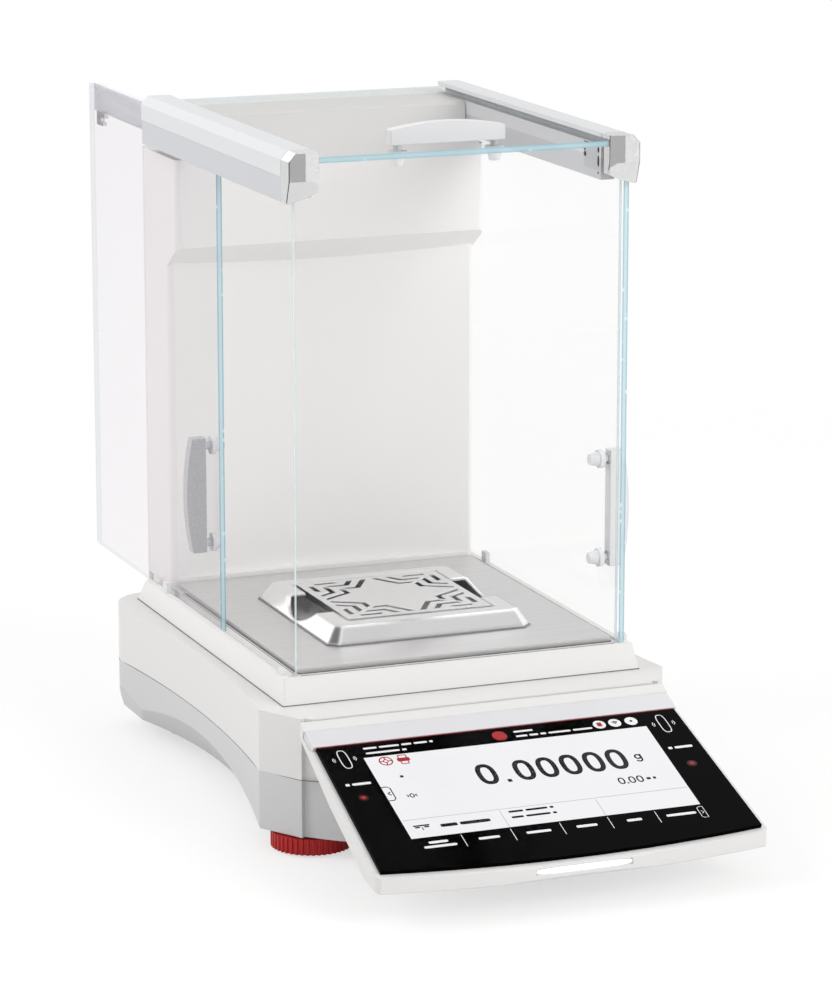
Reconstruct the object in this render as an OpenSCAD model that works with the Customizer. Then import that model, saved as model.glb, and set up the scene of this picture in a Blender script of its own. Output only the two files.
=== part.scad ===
// Semi-micro laboratory balance with a sliding-door draft shield.
// Millimetres, +Z up, +Y to the rear, the floor at z = 0.
// Inside the modules z is counted from the top of the weighing deck.

/* [Overall size] */
// Width of the base across its front corners
body_width = 222.6; // [200:0.2:280]
// Height of the deck top above the bench
deck_level = 85; // [80:0.5:105]
// Clear height from the deck top to the underside of the top door
chamber_height = 260.3; // [220:0.1:300]
// Depth from the back of the front glass to the foot of the column
chamber_depth = 192; // [160:0.2:240]
// Depth of the rear column at its foot, without its back cover
column_depth = 40.7; // [32:0.1:60]

/* [Draft shield] */
// Thickness of every glass pane
glass_thickness = 3; // [2.5:0.1:4]
// Height of the strip that stiffens the top of a side door
carrier_height = 15; // [10:0.5:20]
// Length of the three door handles
handle_length = 61.5; // [50:0.5:80]
// Depth of a handle in its middle
handle_depth = 10.6; // [9:0.1:15]
// How far the left door stands open
left_door_open = 106.5; // [0:0.5:160]

/* [Weighing chamber] */
// Side of the square pan
pan_size = 80; // [66:1:96]
// Side of the wind ring at its foot
ring_size = 114; // [106:1:124]
// Width of the steel floor plate
floor_plate_width = 172.6; // [160:0.2:174]

/* [Base] */
// How far the sides of the base are drawn in at the waist
waist_depth = 7.3; // [3:0.1:10]
// Height of the side arch above the foot of the housing
arch_height = 19.2; // [10:0.2:26]
// Diameter of a levelling wheel
wheel_diameter = 41.6; // [36:0.2:44]
// Number of grip ribs on a levelling wheel
wheel_ribs = 44; // [24:1:60]

/* [Terminal] */
// Width of the terminal at its rear edge
terminal_width = 197; // [160:0.5:210]
// Slope of the display in degrees
terminal_tilt = 19.56; // [10:0.1:30]
// Length of the display glass down the slope
display_length = 103; // [90:0.5:110]

// Radius of the bow along the front edge of the display
front_bow = 900; // [600:10:2600]

/* [Hidden] */
$fa = 4;
$fs = 0.6;

datum_y = -163.3;

c_white = [0.93, 0.93, 0.92];
c_light = [0.88, 0.89, 0.90];
c_grey = [0.78, 0.79, 0.81];
c_silver = [0.66, 0.68, 0.71];
c_blue_grey = [0.55, 0.61, 0.69];
c_steel = [0.74, 0.75, 0.77];
c_alu = [0.70, 0.72, 0.74];
c_brass = [0.78, 0.62, 0.30];
c_black = [0.06, 0.06, 0.07];
c_dark = [0.16, 0.17, 0.19];
c_red = [0.78, 0.10, 0.12];
c_green = [0.10, 0.36, 0.20];
c_glass = [0.75, 0.90, 0.90, 0.35];
c_clear = [0.85, 0.92, 0.95, 0.5];

// Heights, all from the deck top
floor_z = -deck_level;
housing_foot_z = floor_z + 10;
shoulder_z = -13.4;
split_z = -45;
top_glass_z = chamber_height;
column_top_z = chamber_height - 0.5;
rail_top_z = chamber_height + 5.7;
rail_foot_z = chamber_height - 19.8;
door_top_z = chamber_height + 0.7;
carrier_foot_z = door_top_z - carrier_height;

// Depths, front to rear
glass_front_y = 80;
glass_back_y = glass_front_y + glass_thickness;
corner_y = glass_front_y - 7;
facet_y = corner_y - 24;
column_y = glass_back_y + chamber_depth;
cover_y = column_y + column_depth;
cover_depth = 7;
rear_y = cover_y + cover_depth + 0.3;
hood_y = column_y - 14;
rail_rear_y = column_y + 28;
deck_rear_y = column_y + 34;
pan_y = glass_back_y + chamber_depth * 0.47;

// Widths, all from the middle plane
body_half = body_width / 2;
door_in_x = body_half - 22.3;
door_out_x = door_in_x + glass_thickness;
deck_half = body_half - 13.3;
deck_top_half = deck_half - 2.4;
column_half = door_in_x - 0.4;
rail_in_x = door_in_x - 11;
rail_out_x = door_out_x + 1.8;
carrier_in_x = door_in_x - 3;
rail_channel_x = carrier_in_x - 0.6;
wheel_x = body_half - 25.3;
wheel_y = corner_y - 7;

// Side arch: the sides are drawn in on one arc, the arch is scooped on a leaning one
side_length = rear_y - corner_y - 24;
side_radius = (side_length * side_length / 4 + waist_depth * waist_depth) / (2 * waist_depth);
side_y = corner_y + side_length / 2;
arch_radius = 416;
arch_y = corner_y + 114.5;
arch_lean = 55;

door_length = chamber_depth + 24;
door_groove_depth = 3;
stud_radius = 2;
stud_reach = handle_length / 2 - 4.5;
stud_z = 66.8;
left_door_front_y = glass_front_y - 0.5 + left_door_open;
right_door_front_y = glass_front_y - 0.5;
handle_set_back = 23;
handle_gap = 0.4;
handle_half_width = 3.4;

pan_top_z = 12.2;
ring_top_z = 11.8;
plate_top_z = 2.7;
ring_opening = pan_size + 3;

stud_foot_radius = 4;
wheel_foot_z = floor_z + 1;
wheel_top_z = housing_foot_z - 0.8;

display_top = [29.4, -22.6];

// The whole balance stands with the middle of its outline over the origin
module placed() {
    translate([0, datum_y, deck_level]) children();
}

module box(x0, x1, y0, y1, z0, z1) {
    translate([x0, y0, z0]) cube([x1 - x0, y1 - y0, z1 - z0]);
}

// A block centred on the middle plane
module wide(half, y0, y1, z0, z1) {
    box(-half, half, y0, y1, z0, z1);
}

// A drawing in (y, z) drawn out along x
module along_x(x0, x1) {
    translate([x0, 0, 0]) rotate([90, 0, 90]) linear_extrude(x1 - x0) children();
}

// A drawing in (x, z) drawn out along y
module along_y(y0, y1) {
    translate([0, y1, 0]) rotate([90, 0, 0]) linear_extrude(y1 - y0) children();
}

module along_z(z0, z1) {
    translate([0, 0, z0]) linear_extrude(z1 - z0) children();
}

module post(x, y, z0, z1, r) {
    translate([x, y, z0]) cylinder(r = r, h = z1 - z0);
}

// The right half of a closed outline, from front to rear, joined to its mirror image
function mirrored(half) =
    concat(half, [for (i = [len(half) - 1 : -1 : 0]) if (half[i][0] > 0) [-half[i][0], half[i][1]]]);

module both_sides() {
    children();
    mirror([1, 0, 0]) children();
}

module right_side() {
    mirror([1, 0, 0]) children();
}

// A plan with two rounded front corners
module rounded_front(half, y0, y1, r) {
    translate([-half + r, y0]) square([2 * (half - r), y1 - y0]);
    translate([-half, y0 + r]) square([2 * half, y1 - y0 - r]);
    translate([-half + r, y0 + r]) circle(r);
    translate([half - r, y0 + r]) circle(r);
}

// A plan with two rounded rear corners
module rounded_rear(half, y0, y1, r) {
    translate([-half + r, y0]) square([2 * (half - r), y1 - y0]);
    intersection() {
        translate([-half, y0]) square([2 * half, y1 - y0]);
        union() {
            translate([-half, y0 - r]) square([2 * half, y1 - y0]);
            translate([-half + r, y1 - r]) circle(r);
            translate([half - r, y1 - r]) circle(r);
        }
    }
}

// Base shell

// Outline of the base seen from above: angled front towers, waisted sides, round rear corners
module base_plan() {
    difference() {
        union() {
            polygon([
                [-body_half, corner_y], [-body_half + 14, facet_y],
                [-body_half + 16.1, facet_y + 1.4], [-body_half + 21.1, facet_y - 3.5],
                [-body_half + 31, facet_y - 12.4], [-body_half + 39, facet_y - 17],
                [body_half - 39, facet_y - 17], [body_half - 31, facet_y - 12.4],
                [body_half - 21.1, facet_y - 3.5], [body_half - 16.1, facet_y + 1.4],
                [body_half - 14, facet_y], [body_half, corner_y],
                [body_half, corner_y + 5], [-body_half, corner_y + 5]
            ]);
            rounded_rear(body_half, corner_y + 4, rear_y, 24);
        }
        translate([body_half - waist_depth + side_radius, side_y]) circle(side_radius, $fn = 720);
        translate([-body_half + waist_depth - side_radius, side_y]) circle(side_radius, $fn = 720);
    }
}

// Room inside the lower half, narrow where the side arches cut in
module lower_room_plan() {
    polygon(mirrored([
        [body_half - 35.3, facet_y - 7], [body_half - 21.3, facet_y + 6],
        [body_half - 14.3, corner_y + 2], [body_half - 14.3, corner_y + 19], [body_half - 31.3, corner_y + 31],
        [body_half - 31.3, rear_y - 27], [body_half - 39.3, rear_y - 11]
    ]));
}

// The arch is scooped from each side by a large round tool that leans outwards
module side_arch() {
    translate([-body_half + 6.8, arch_y, housing_foot_z + arch_height - 0.6])
        rotate([0, 90 + arch_lean, 0])
            translate([arch_radius, 0, -60])
                cylinder(r = arch_radius, h = 120, $fn = 720);
}

// The rear corners lean in towards the bench
module corner_draft() {
    along_y(side_y, rear_y + 1) polygon([
        [body_half - 0.5, housing_foot_z + 15], [body_half - 6.9, housing_foot_z - 1],
        [body_half + 9, housing_foot_z - 1], [body_half + 9, housing_foot_z + 15]
    ]);
}

// The slope under the terminal that the front of the base is cut to
module terminal_room() {
    along_x(-body_half, body_half) polygon([
        [facet_y - 1.7, 5], [facet_y - 1.7, -23.1], [facet_y - 60, -49.5], [facet_y - 60, 5]
    ]);
}

module lower_housing() {
    placed() color(c_grey) difference() {
        along_z(housing_foot_z, split_z) base_plan();
        along_z(housing_foot_z + 2.5, split_z + 1) lower_room_plan();
        both_sides() side_arch();
        both_sides() corner_draft();
        terminal_room();
        both_sides() post(wheel_x, wheel_y, housing_foot_z - 1, housing_foot_z + 4, stud_foot_radius + 1);
        post(0, pan_y, housing_foot_z - 1, housing_foot_z + 4, 11);
        wide(70.4, rear_y - 2.4, rear_y + 1, split_z - 24, split_z - 1.6);
        wide(66, rear_y - 14, rear_y, split_z - 21.6, split_z - 4);
        along_y(side_y - 60, side_y + 40) for (k = [-4 : 4])
            translate([k * 9 - 1.5, housing_foot_z - 1]) square([3, 5]);
    }
}

module upper_housing() {
    placed() color(c_light) difference() {
        along_z(split_z, shoulder_z) base_plan();
        along_z(split_z - 1, shoulder_z - 3) polygon(mirrored([
            [body_half - 27.3, facet_y + 3], [body_half - 13.3, corner_y + 2],
            [body_half - 13.3, rear_y - 26], [body_half - 27.3, rear_y - 13]
        ]));
        wide(body_half - 27.3, glass_back_y + 6, rear_y - 24, shoulder_z - 4, shoulder_z + 1);
        terminal_room();
    }
}

module both_sides_2d() {
    children();
    mirror([1, 0]) children();
}

// Raised tray with sloping edges that carries the chamber
module deck() {
    placed() color(c_light) difference() {
        intersection() {
            along_x(-deck_half, deck_half) polygon([
                [glass_front_y - 6.6, shoulder_z], [glass_front_y - 2.5, 0],
                [deck_rear_y - 9, 0], [deck_rear_y, shoulder_z]
            ]);
            along_y(glass_front_y - 10, deck_rear_y + 1) polygon([
                [-deck_half, shoulder_z], [-deck_top_half, 0], [deck_top_half, 0], [deck_half, shoulder_z]
            ]);
        }
        wide(door_in_x - 3, glass_back_y + 3, column_y + 20, shoulder_z - 1, -3);
        wide(column_half + 0.3, column_y + 25, deck_rear_y + 1, shoulder_z - 1, 1);
        both_sides() box(door_in_x - 0.5, door_out_x + 0.5, glass_front_y - 0.6, deck_rear_y + 1, -door_groove_depth, 1);
        both_sides() box(door_out_x + 0.4, deck_half + 1, glass_back_y + 6, deck_rear_y + 1, -0.8, 1);
        wide(door_in_x - 0.6, glass_front_y - 0.2, glass_back_y + 0.2, -1.5, 1);
        post(0, pan_y, -4, 1, 12);
    }
}

// Column

module column_side() {
    polygon([
        [hood_y, top_glass_z - 71.3], [hood_y + 1.5, column_top_z - 1.5], [hood_y + 3, column_top_z],
        [cover_y, column_top_z], [cover_y, 150], [column_y + 21, 150],
        [column_y + 5, top_glass_z - 84.3]
    ]);
}

module column_top_cuts() {
    both_sides() {
        box(rail_in_x - 0.3, body_half, hood_y - 5, rail_rear_y + 0.3, rail_foot_z - 0.3, column_top_z + 9);
        box(rail_channel_x + 0.1, body_half, hood_y - 5, rear_y + 1, rail_foot_z - 4, column_top_z + 9);
    }
}

module column_housing() {
    placed() color(c_white) difference() {
        union() {
            intersection() {
                along_x(-column_half, column_half) column_side();
                along_z(100, column_top_z) rounded_front(column_half, hood_y, cover_y, 4.5);
            }
            difference() {
                along_z(0, top_glass_z - 80) rounded_front(column_half, column_y, cover_y, 4.5);
                translate([0, column_y + 5 - 775, 5]) cylinder(r = 775, h = top_glass_z, $fn = 720);
            }
            wide(column_half - 2, column_y + 25.3, cover_y, shoulder_z, 1);
        }
        column_top_cuts();
        along_x(-column_half + 3, column_half - 3) polygon([
            [column_y + 8, 3], [column_y + 8, top_glass_z - 82], [hood_y + 3, top_glass_z - 68],
            [hood_y + 4.5, rail_foot_z - 7], [cover_y + 1, rail_foot_z - 7], [cover_y + 1, 3]
        ]);
        wide(rail_in_x - 3.5, hood_y + 4.5, cover_y + 1, rail_foot_z - 8, column_top_z - 3);
    }
}

module column_back() {
    placed() color(c_white) difference() {
        along_z(shoulder_z, column_top_z) rounded_rear(column_half, cover_y + 0.3, rear_y, 6);
        column_top_cuts();
        for (z = [20, 120, 225]) both_sides() translate([column_half - 14, rear_y + 1, z])
            rotate([90, 0, 0]) cylinder(r = 3.2, h = 3.2);
        for (k = [0 : 7]) wide(36, rear_y - 1.6, rear_y + 1, 36 + k * 9, 38.6 + k * 9);
    }
}

module column_screws() {
    placed() color(c_steel) for (z = [20, 120, 225]) both_sides() difference() {
        translate([column_half - 14, rear_y - 0.4, z]) rotate([90, 0, 0]) cylinder(r = 3, h = 1.8);
        translate([column_half - 15.6, rear_y - 1.2, z - 0.4]) cube([3.2, 2, 0.8]);
    }
}

// Door rails

module rail_section() {
    polygon([
        [rail_out_x - 0.4, rail_foot_z], [rail_out_x - 0.4, rail_foot_z + 12.3], [rail_out_x, rail_foot_z + 12.7],
        [rail_out_x, rail_top_z - 4.3], [rail_out_x - 3.9, rail_top_z], [rail_in_x, rail_top_z],
        [rail_in_x, top_glass_z + 3.4], [rail_in_x + 4.4, top_glass_z + 3.4],
        [rail_in_x + 4.4, top_glass_z - 0.3], [rail_in_x, top_glass_z - 0.3],
        [rail_in_x, rail_foot_z + 1.5], [rail_channel_x, rail_foot_z + 1.5],
        [rail_channel_x, door_top_z + 0.6], [door_out_x + 0.4, door_top_z + 0.6],
        [door_out_x + 0.4, rail_foot_z]
    ]);
}

module rail_right() {
    placed() color(c_grey) along_y(glass_back_y + 0.3, rail_rear_y) rail_section();
}

module rail_left() {
    placed() color(c_grey) along_y(glass_back_y + 0.3, rail_rear_y) right_side_2d() rail_section();
}

module right_side_2d() {
    mirror([1, 0]) children();
}

// Faceted nose on the front end of a rail; it holds the front glass from behind
module rail_cap() {
    difference() {
        intersection() {
            along_z(rail_foot_z, rail_top_z) polygon([
                [rail_in_x, glass_front_y - 8.2], [rail_in_x + 7.5, glass_front_y - 9.8],
                [rail_out_x - 0.2, glass_front_y - 9.2], [rail_out_x, glass_back_y], [rail_in_x, glass_back_y]
            ]);
            along_y(glass_front_y - 12, glass_back_y + 1) polygon([
                [rail_in_x, rail_foot_z + 5.5], [rail_in_x + 7.5, rail_foot_z + 2.2], [rail_out_x, rail_foot_z],
                [rail_out_x, rail_top_z - 4.3], [rail_out_x - 3.9, rail_top_z], [rail_in_x, rail_top_z]
            ]);
        }
        along_x(rail_in_x - 1, rail_out_x + 1) polygon([
            [glass_front_y - 11, rail_foot_z + 11.5], [glass_front_y - 9, rail_foot_z + 11.5],
            [glass_front_y - 4.6, rail_foot_z - 1], [glass_front_y - 11, rail_foot_z - 1]
        ]);
        box(rail_in_x - 1, door_in_x - 0.4, glass_front_y - 0.2, glass_back_y + 1, rail_foot_z - 1, top_glass_z);
        box(rail_in_x - 1, rail_in_x + 4.4, glass_front_y - 7.2, glass_back_y + 1, top_glass_z - 0.3, top_glass_z + 3.4);
        box(rail_channel_x, door_out_x + 0.4, glass_front_y - 0.8, glass_back_y + 1, rail_foot_z - 1, door_top_z + 0.6);
    }
}

module rail_cap_right() {
    placed() color(c_silver) rail_cap();
}

module rail_cap_left() {
    placed() color(c_silver) right_side() rail_cap();
}

module front_glass() {
    placed() color(c_glass) wide(door_in_x - 0.8, glass_front_y, glass_back_y, -1.5, top_glass_z - 0.4);
}

module door_guides() {
    placed() color(c_dark) both_sides() {
        box(door_out_x + 0.7, door_out_x + 3.4, glass_back_y + 0.5, glass_back_y + 6, 0, 3.2);
        box(door_out_x + 0.7, door_out_x + 3.1, column_y - 8, column_y - 2, -0.8, 5);
    }
}

// Doors

// A handle in its own place: length up, depth outwards along +x, the glass face at x = 0
module handle_shape() {
    half = handle_length / 2;
    drop = 3.2;
    radius = (half * half + drop * drop) / (2 * drop);
    difference() {
        intersection() {
            box(handle_gap, handle_gap + handle_depth, -handle_half_width, handle_half_width, -half, half);
            translate([handle_gap + handle_depth - radius, handle_half_width + 1, 0]) rotate([90, 0, 0])
                cylinder(r = radius, h = 2 * handle_half_width + 2, $fn = 180);
        }
        for (k = [-1, 1]) translate([0, 0, k * stud_reach]) rotate([0, 90, 0])
            cylinder(r = stud_radius + 0.05, h = handle_gap + 5);
    }
}

// Clear buttons that hold a handle to its pane: stepped button inside, washer outside
module handle_studs() {
    button = 2.4;
    cone = 5;
    for (k = [-1, 1]) translate([0, 0, k * stud_reach]) union() {
        translate([-glass_thickness - button, 0, 0]) rotate([0, 90, 0]) cylinder(r = 4.9, h = button);
        translate([-glass_thickness - button - cone, 0, 0]) rotate([0, 90, 0])
            cylinder(r1 = 2.8, r2 = 3.9, h = cone + 0.2);
        translate([-glass_thickness - 1, 0, 0]) rotate([0, 90, 0])
            cylinder(r = stud_radius, h = glass_thickness + 5);
        rotate([0, 90, 0]) cylinder(r = 3.2, h = handle_gap);
    }
}

module side_pane(front_y) {
    difference() {
        box(door_in_x, door_out_x, front_y, front_y + door_length, -2.5, door_top_z);
        for (k = [-1, 1]) translate([door_in_x - 1, front_y + handle_set_back, stud_z + k * stud_reach])
            rotate([0, 90, 0]) cylinder(r = stud_radius + 0.1, h = glass_thickness + 2);
    }
}

module carrier(front_y) {
    box(carrier_in_x, door_in_x, front_y + 4, front_y + door_length, carrier_foot_z, door_top_z);
}

// Hooked end stop under the rear of a carrier
module catch_shape(front_y) {
    rear = front_y + door_length;
    box(carrier_in_x + 0.4, door_in_x, rear - 17, rear - 4, carrier_foot_z - 3, carrier_foot_z);
    box(carrier_in_x + 0.4, door_in_x, rear - 10, rear - 4, carrier_foot_z - 7.5, carrier_foot_z);
    box(carrier_in_x + 0.4, door_in_x, rear - 14, rear - 4, carrier_foot_z - 7.5, carrier_foot_z - 5.6);
}

module on_side_pane(front_y) {
    translate([door_out_x, front_y + handle_set_back, stud_z]) children();
}

module left_door_glass() {
    placed() color(c_glass) right_side() side_pane(left_door_front_y);
}

module left_door_carrier() {
    placed() color(c_blue_grey) right_side() carrier(left_door_front_y);
}

module left_door_catch() {
    placed() color(c_black) right_side() catch_shape(left_door_front_y);
}

module left_handle() {
    placed() color(c_silver) right_side() on_side_pane(left_door_front_y) handle_shape();
}

module left_handle_studs() {
    placed() color(c_clear) right_side() on_side_pane(left_door_front_y) handle_studs();
}

module right_door_glass() {
    placed() color(c_glass) side_pane(right_door_front_y);
}

module right_door_carrier() {
    placed() color(c_blue_grey) carrier(right_door_front_y);
}

module right_door_catch() {
    placed() color(c_black) catch_shape(right_door_front_y);
}

module right_handle() {
    placed() color(c_silver) on_side_pane(right_door_front_y) handle_shape();
}

module right_handle_studs() {
    placed() color(c_clear) on_side_pane(right_door_front_y) handle_studs();
}

module on_top_pane() {
    translate([0, glass_front_y + 19, top_glass_z + glass_thickness]) rotate([0, -90, 0]) children();
}

module top_door_glass() {
    placed() color(c_glass) difference() {
        wide(rail_in_x + 4, glass_front_y - 7, rail_rear_y - 1, top_glass_z, top_glass_z + glass_thickness);
        on_top_pane() for (k = [-1, 1]) translate([-glass_thickness - 1, 0, k * stud_reach])
            rotate([0, 90, 0]) cylinder(r = stud_radius + 0.1, h = glass_thickness + 2);
    }
}

module top_handle() {
    placed() color(c_silver) on_top_pane() handle_shape();
}

module top_handle_studs() {
    placed() color(c_clear) on_top_pane() handle_studs();
}

// Chamber floor

module floor_plate() {
    half = floor_plate_width / 2;
    placed() color(c_steel) difference() {
        wide(half, glass_back_y + 0.7, column_y - 0.8, 0, plate_top_z);
        wide(half - 1, glass_back_y + 1.7, column_y - 1.8, -1, plate_top_z - 1);
        post(0, pan_y, -1, plate_top_z + 1, 10.5);
    }
}

// A block with sloping sides and bevelled corners, standing on z = 0
module tapered_block(foot, head, bevel_foot, bevel_head, h) {
    foot_diagonal = foot * sqrt(2) - bevel_foot / sqrt(2);
    head_diagonal = head * sqrt(2) - bevel_head / sqrt(2);
    intersection() {
        along_x(-foot, foot) polygon([[-foot, 0], [foot, 0], [head, h], [-head, h]]);
        along_y(-foot, foot) polygon([[-foot, 0], [foot, 0], [head, h], [-head, h]]);
        rotate([0, 0, 45]) along_x(-foot * 2, foot * 2)
            polygon([[-foot_diagonal, 0], [foot_diagonal, 0], [head_diagonal, h], [-head_diagonal, h]]);
        rotate([0, 0, -45]) along_x(-foot * 2, foot * 2)
            polygon([[-foot_diagonal, 0], [foot_diagonal, 0], [head_diagonal, h], [-head_diagonal, h]]);
    }
}

// Sloping steel collar round the pan, dipped at both sides for the fingers
module wind_ring() {
    foot = ring_size / 2;
    head = foot - 5.8;
    h = ring_top_z - plate_top_z;
    dip_radius = 34;
    placed() color(c_steel) translate([0, pan_y, plate_top_z]) difference() {
        tapered_block(foot, head, 5, 3.2, h);
        translate([0, 0, -1.2]) tapered_block(foot - 1.3, head - 1.3, 5, 3.2, h);
        wide(ring_opening / 2, -ring_opening / 2, ring_opening / 2, -1, h + 1);
        both_sides() along_x(ring_opening / 2 - 2, foot + 2)
            translate([0, dip_radius + 1.5]) circle(dip_radius);
    }
}

// One bent slot of the pan: a leg parallel to the edge and a leg that leans towards it
module pan_slot(x, y, half, web, edge) {
    bend = 0.577;
    polygon([
        [y + half - web, y + half], [x + bend * half, y + half],
        [x + bend * half - bend * (edge - y - half), edge], [x - bend * half - bend * (edge - y + half), edge],
        [x - bend * half, y - half], [y - half - web, y - half]
    ]);
}

module pan_slots() {
    s = pan_size / 80;
    for (turn = [0 : 90 : 270]) rotate(turn) both_sides_2d() {
        pan_slot(11.7 * s, 21.1 * s, 1.5 * s, 1.7 * s, 36.2 * s);
        pan_slot(15.6 * s, 28 * s, 1.5 * s, 1.7 * s, 36.2 * s);
        polygon([
            [31.5 * s, 36.2 * s], [20.4 * s, 36.2 * s], [18.6 * s, 33.2 * s], [31.5 * s, 33.2 * s]
        ]);
    }
}

module pan() {
    half = pan_size / 2;
    placed() color(c_steel) translate([0, pan_y, 0]) difference() {
        wide(half, -half, half, pan_top_z - 4, pan_top_z);
        wide(half - 0.8, -half + 0.8, half - 0.8, pan_top_z - 5, pan_top_z - 0.9);
        along_z(pan_top_z - 2, pan_top_z + 1) pan_slots();
    }
}

// Socket under the pan that drops over the pin
module pan_hub() {
    placed() color(c_alu) translate([0, pan_y, 0]) difference() {
        union() {
            post(0, 0, pan_top_z - 2.4, pan_top_z - 0.9, 15);
            post(0, 0, 3.2, pan_top_z - 2, 8.5);
        }
        post(0, 0, 0, pan_top_z - 3.2, 5.05);
    }
}

module spigot_seal() {
    placed() color(c_alu) translate([0, pan_y, 0]) difference() {
        union() {
            post(0, 0, -5, 0, 11.9);
            post(0, 0, -5, -3, 16);
        }
        post(0, 0, -6, 2, 6.4);
    }
}

// Weighing system

module chassis() {
    placed() color(c_alu) difference() {
        union() {
            along_z(housing_foot_z + 2.5, housing_foot_z + 7) polygon(mirrored([
                [body_half - 37.3, facet_y - 5], [body_half - 23.3, facet_y + 9],
                [body_half - 17.3, corner_y + 2], [body_half - 17.3, corner_y + 17],
                [body_half - 33.3, corner_y + 29], [body_half - 33.3, rear_y - 29]
            ]));
            both_sides() post(wheel_x, wheel_y, housing_foot_z + 2.5, split_z - 0.5, 7);
            both_sides() box(27, 31, facet_y + 14, rear_y - 34, housing_foot_z + 4, housing_foot_z + 13);
        }
        both_sides() post(wheel_x, wheel_y, housing_foot_z + 1, split_z + 7, stud_foot_radius + 0.06);
        post(0, pan_y, housing_foot_z, housing_foot_z + 8, 9.1);
        for (y = [corner_y + 45, rear_y - 60]) both_sides() post(56, y, housing_foot_z, housing_foot_z + 8, 10);
    }
}

// One-piece weigh cell: parallel flexures cut from a solid block
module weigh_cell() {
    front = pan_y + 34;
    placed() color(c_alu) difference() {
        wide(24, front, front + 62, housing_foot_z + 7, -12);
        wide(25, front + 8, front + 50, -22, -19.5);
        wide(25, front + 8, front + 50, housing_foot_z + 12, housing_foot_z + 14.5);
        for (y = [front + 10, front + 48]) for (z = [-24, housing_foot_z + 16.5])
            translate([-25, y, z]) rotate([0, 90, 0]) cylinder(r = 2.6, h = 50);
        wide(25, front + 20, front + 24, housing_foot_z + 20, -29);
    }
}

module load_arm() {
    placed() color(c_alu) difference() {
        union() {
            wide(9, pan_y - 9, pan_y + 34, -40, -28);
            both_sides() box(14, 18, pan_y + 12, pan_y + 34, -46, -28);
            wide(18, pan_y + 26, pan_y + 34, -40, -28);
        }
        post(0, pan_y, -41, -27, 4.02);
        both_sides() along_x(13, 19) polygon([
            [pan_y + 14, -47], [pan_y + 22, -47], [pan_y + 18, -42.5]
        ]);
    }
}

// Pin that carries the pan
module pan_spigot() {
    placed() color(c_steel) translate([0, pan_y, 0]) union() {
        post(0, 0, -40, -12, 4);
        post(0, 0, -28, -24, 7);
        post(0, 0, -24, 7.4, 5);
        translate([0, 0, 7.4]) cylinder(r1 = 5, r2 = 3.6, h = 1.4);
    }
}

module magnet_pot() {
    placed() color(c_dark) translate([0, pan_y + 116, housing_foot_z + 7]) difference() {
        cylinder(r = 18, h = 34);
        translate([0, 0, 22]) difference() {
            cylinder(r = 13, h = 13);
            translate([0, 0, -1]) cylinder(r = 9, h = 13);
        }
    }
}

// Adjustment weight and the fork that lifts it onto the load arm
module cal_weight() {
    placed() color(c_brass) translate([-21, pan_y + 18, -54.7]) rotate([0, 90, 0]) cylinder(r = 6, h = 42);
}

module cal_lifter() {
    placed() color(c_dark) difference() {
        wide(24, pan_y + 8, pan_y + 28, housing_foot_z + 7.3, -51);
        wide(17, pan_y + 7, pan_y + 29, housing_foot_z + 11, -50);
        translate([-25, pan_y + 18, -54.7]) rotate([0, 90, 0]) cylinder(r = 6.1, h = 50);
        wide(25, pan_y + 11.9, pan_y + 24.1, -54.7, -50);
    }
}

module cal_motor() {
    placed() color(c_dark) union() {
        translate([34, pan_y + 18, -57]) rotate([0, 90, 0]) cylinder(r = 9, h = 26);
        box(33, 62, pan_y + 9, pan_y + 27, housing_foot_z + 7, -60);
        translate([24.3, pan_y + 18, -57]) rotate([0, 90, 0]) cylinder(r = 2, h = 11);
    }
}

module main_board() {
    placed() color(c_green) union() {
        box(-76, -38, column_y - 90, column_y + 4, housing_foot_z + 11, housing_foot_z + 12.6);
        for (p = [[-72, -84], [-42, -84], [-72, -2], [-42, -2]])
            post(p[0], column_y + p[1], housing_foot_z + 7, housing_foot_z + 12, 2.6);
        box(-66, -50, column_y - 60, column_y - 44, housing_foot_z + 12.6, housing_foot_z + 14.2);
        box(-60, -46, column_y - 30, column_y - 12, housing_foot_z + 12.6, housing_foot_z + 18);
    }
}

// Rear connections

module connector_panel() {
    placed() color(c_dark) difference() {
        wide(70, rear_y - 2.2, rear_y - 0.4, split_z - 23.6, split_z - 2);
        translate([-56, rear_y, split_z - 13]) rotate([90, 0, 0]) cylinder(r = 4.6, h = 4);
        box(-42, -28.6, rear_y - 3, rear_y, split_z - 16, split_z - 10);
        box(-22, -8.6, rear_y - 3, rear_y, split_z - 16, split_z - 10);
        box(-2, 10.4, rear_y - 3, rear_y, split_z - 18.4, split_z - 7.4);
        box(18, 34.2, rear_y - 3, rear_y, split_z - 19.6, split_z - 6.4);
        box(41, 60, rear_y - 3, rear_y, split_z - 18, split_z - 8);
    }
}

module power_inlet() {
    placed() color(c_black) translate([-56, rear_y - 0.2, split_z - 13]) rotate([90, 0, 0]) difference() {
        cylinder(r = 4.4, h = 12);
        translate([0, 0, -1]) difference() {
            cylinder(r = 2.9, h = 10);
            cylinder(r = 1, h = 10);
        }
    }
}

module socket_shell(x0, x1, z0, z1) {
    difference() {
        box(x0, x1, rear_y - 12, rear_y - 0.2, z0, z1);
        box(x0 + 0.7, x1 - 0.7, rear_y - 9, rear_y, z0 + 0.7, z1 - 0.7);
    }
}

module data_ports() {
    placed() color(c_steel) union() {
        socket_shell(-41.8, -28.8, split_z - 15.8, split_z - 10.2);
        socket_shell(-21.8, -8.8, split_z - 15.8, split_z - 10.2);
        socket_shell(-1.8, 10.2, split_z - 18.2, split_z - 7.6);
        socket_shell(18.2, 34, split_z - 19.4, split_z - 6.6);
        socket_shell(41.2, 59.8, split_z - 17.8, split_z - 8.2);
    }
}

// Underside

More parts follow.
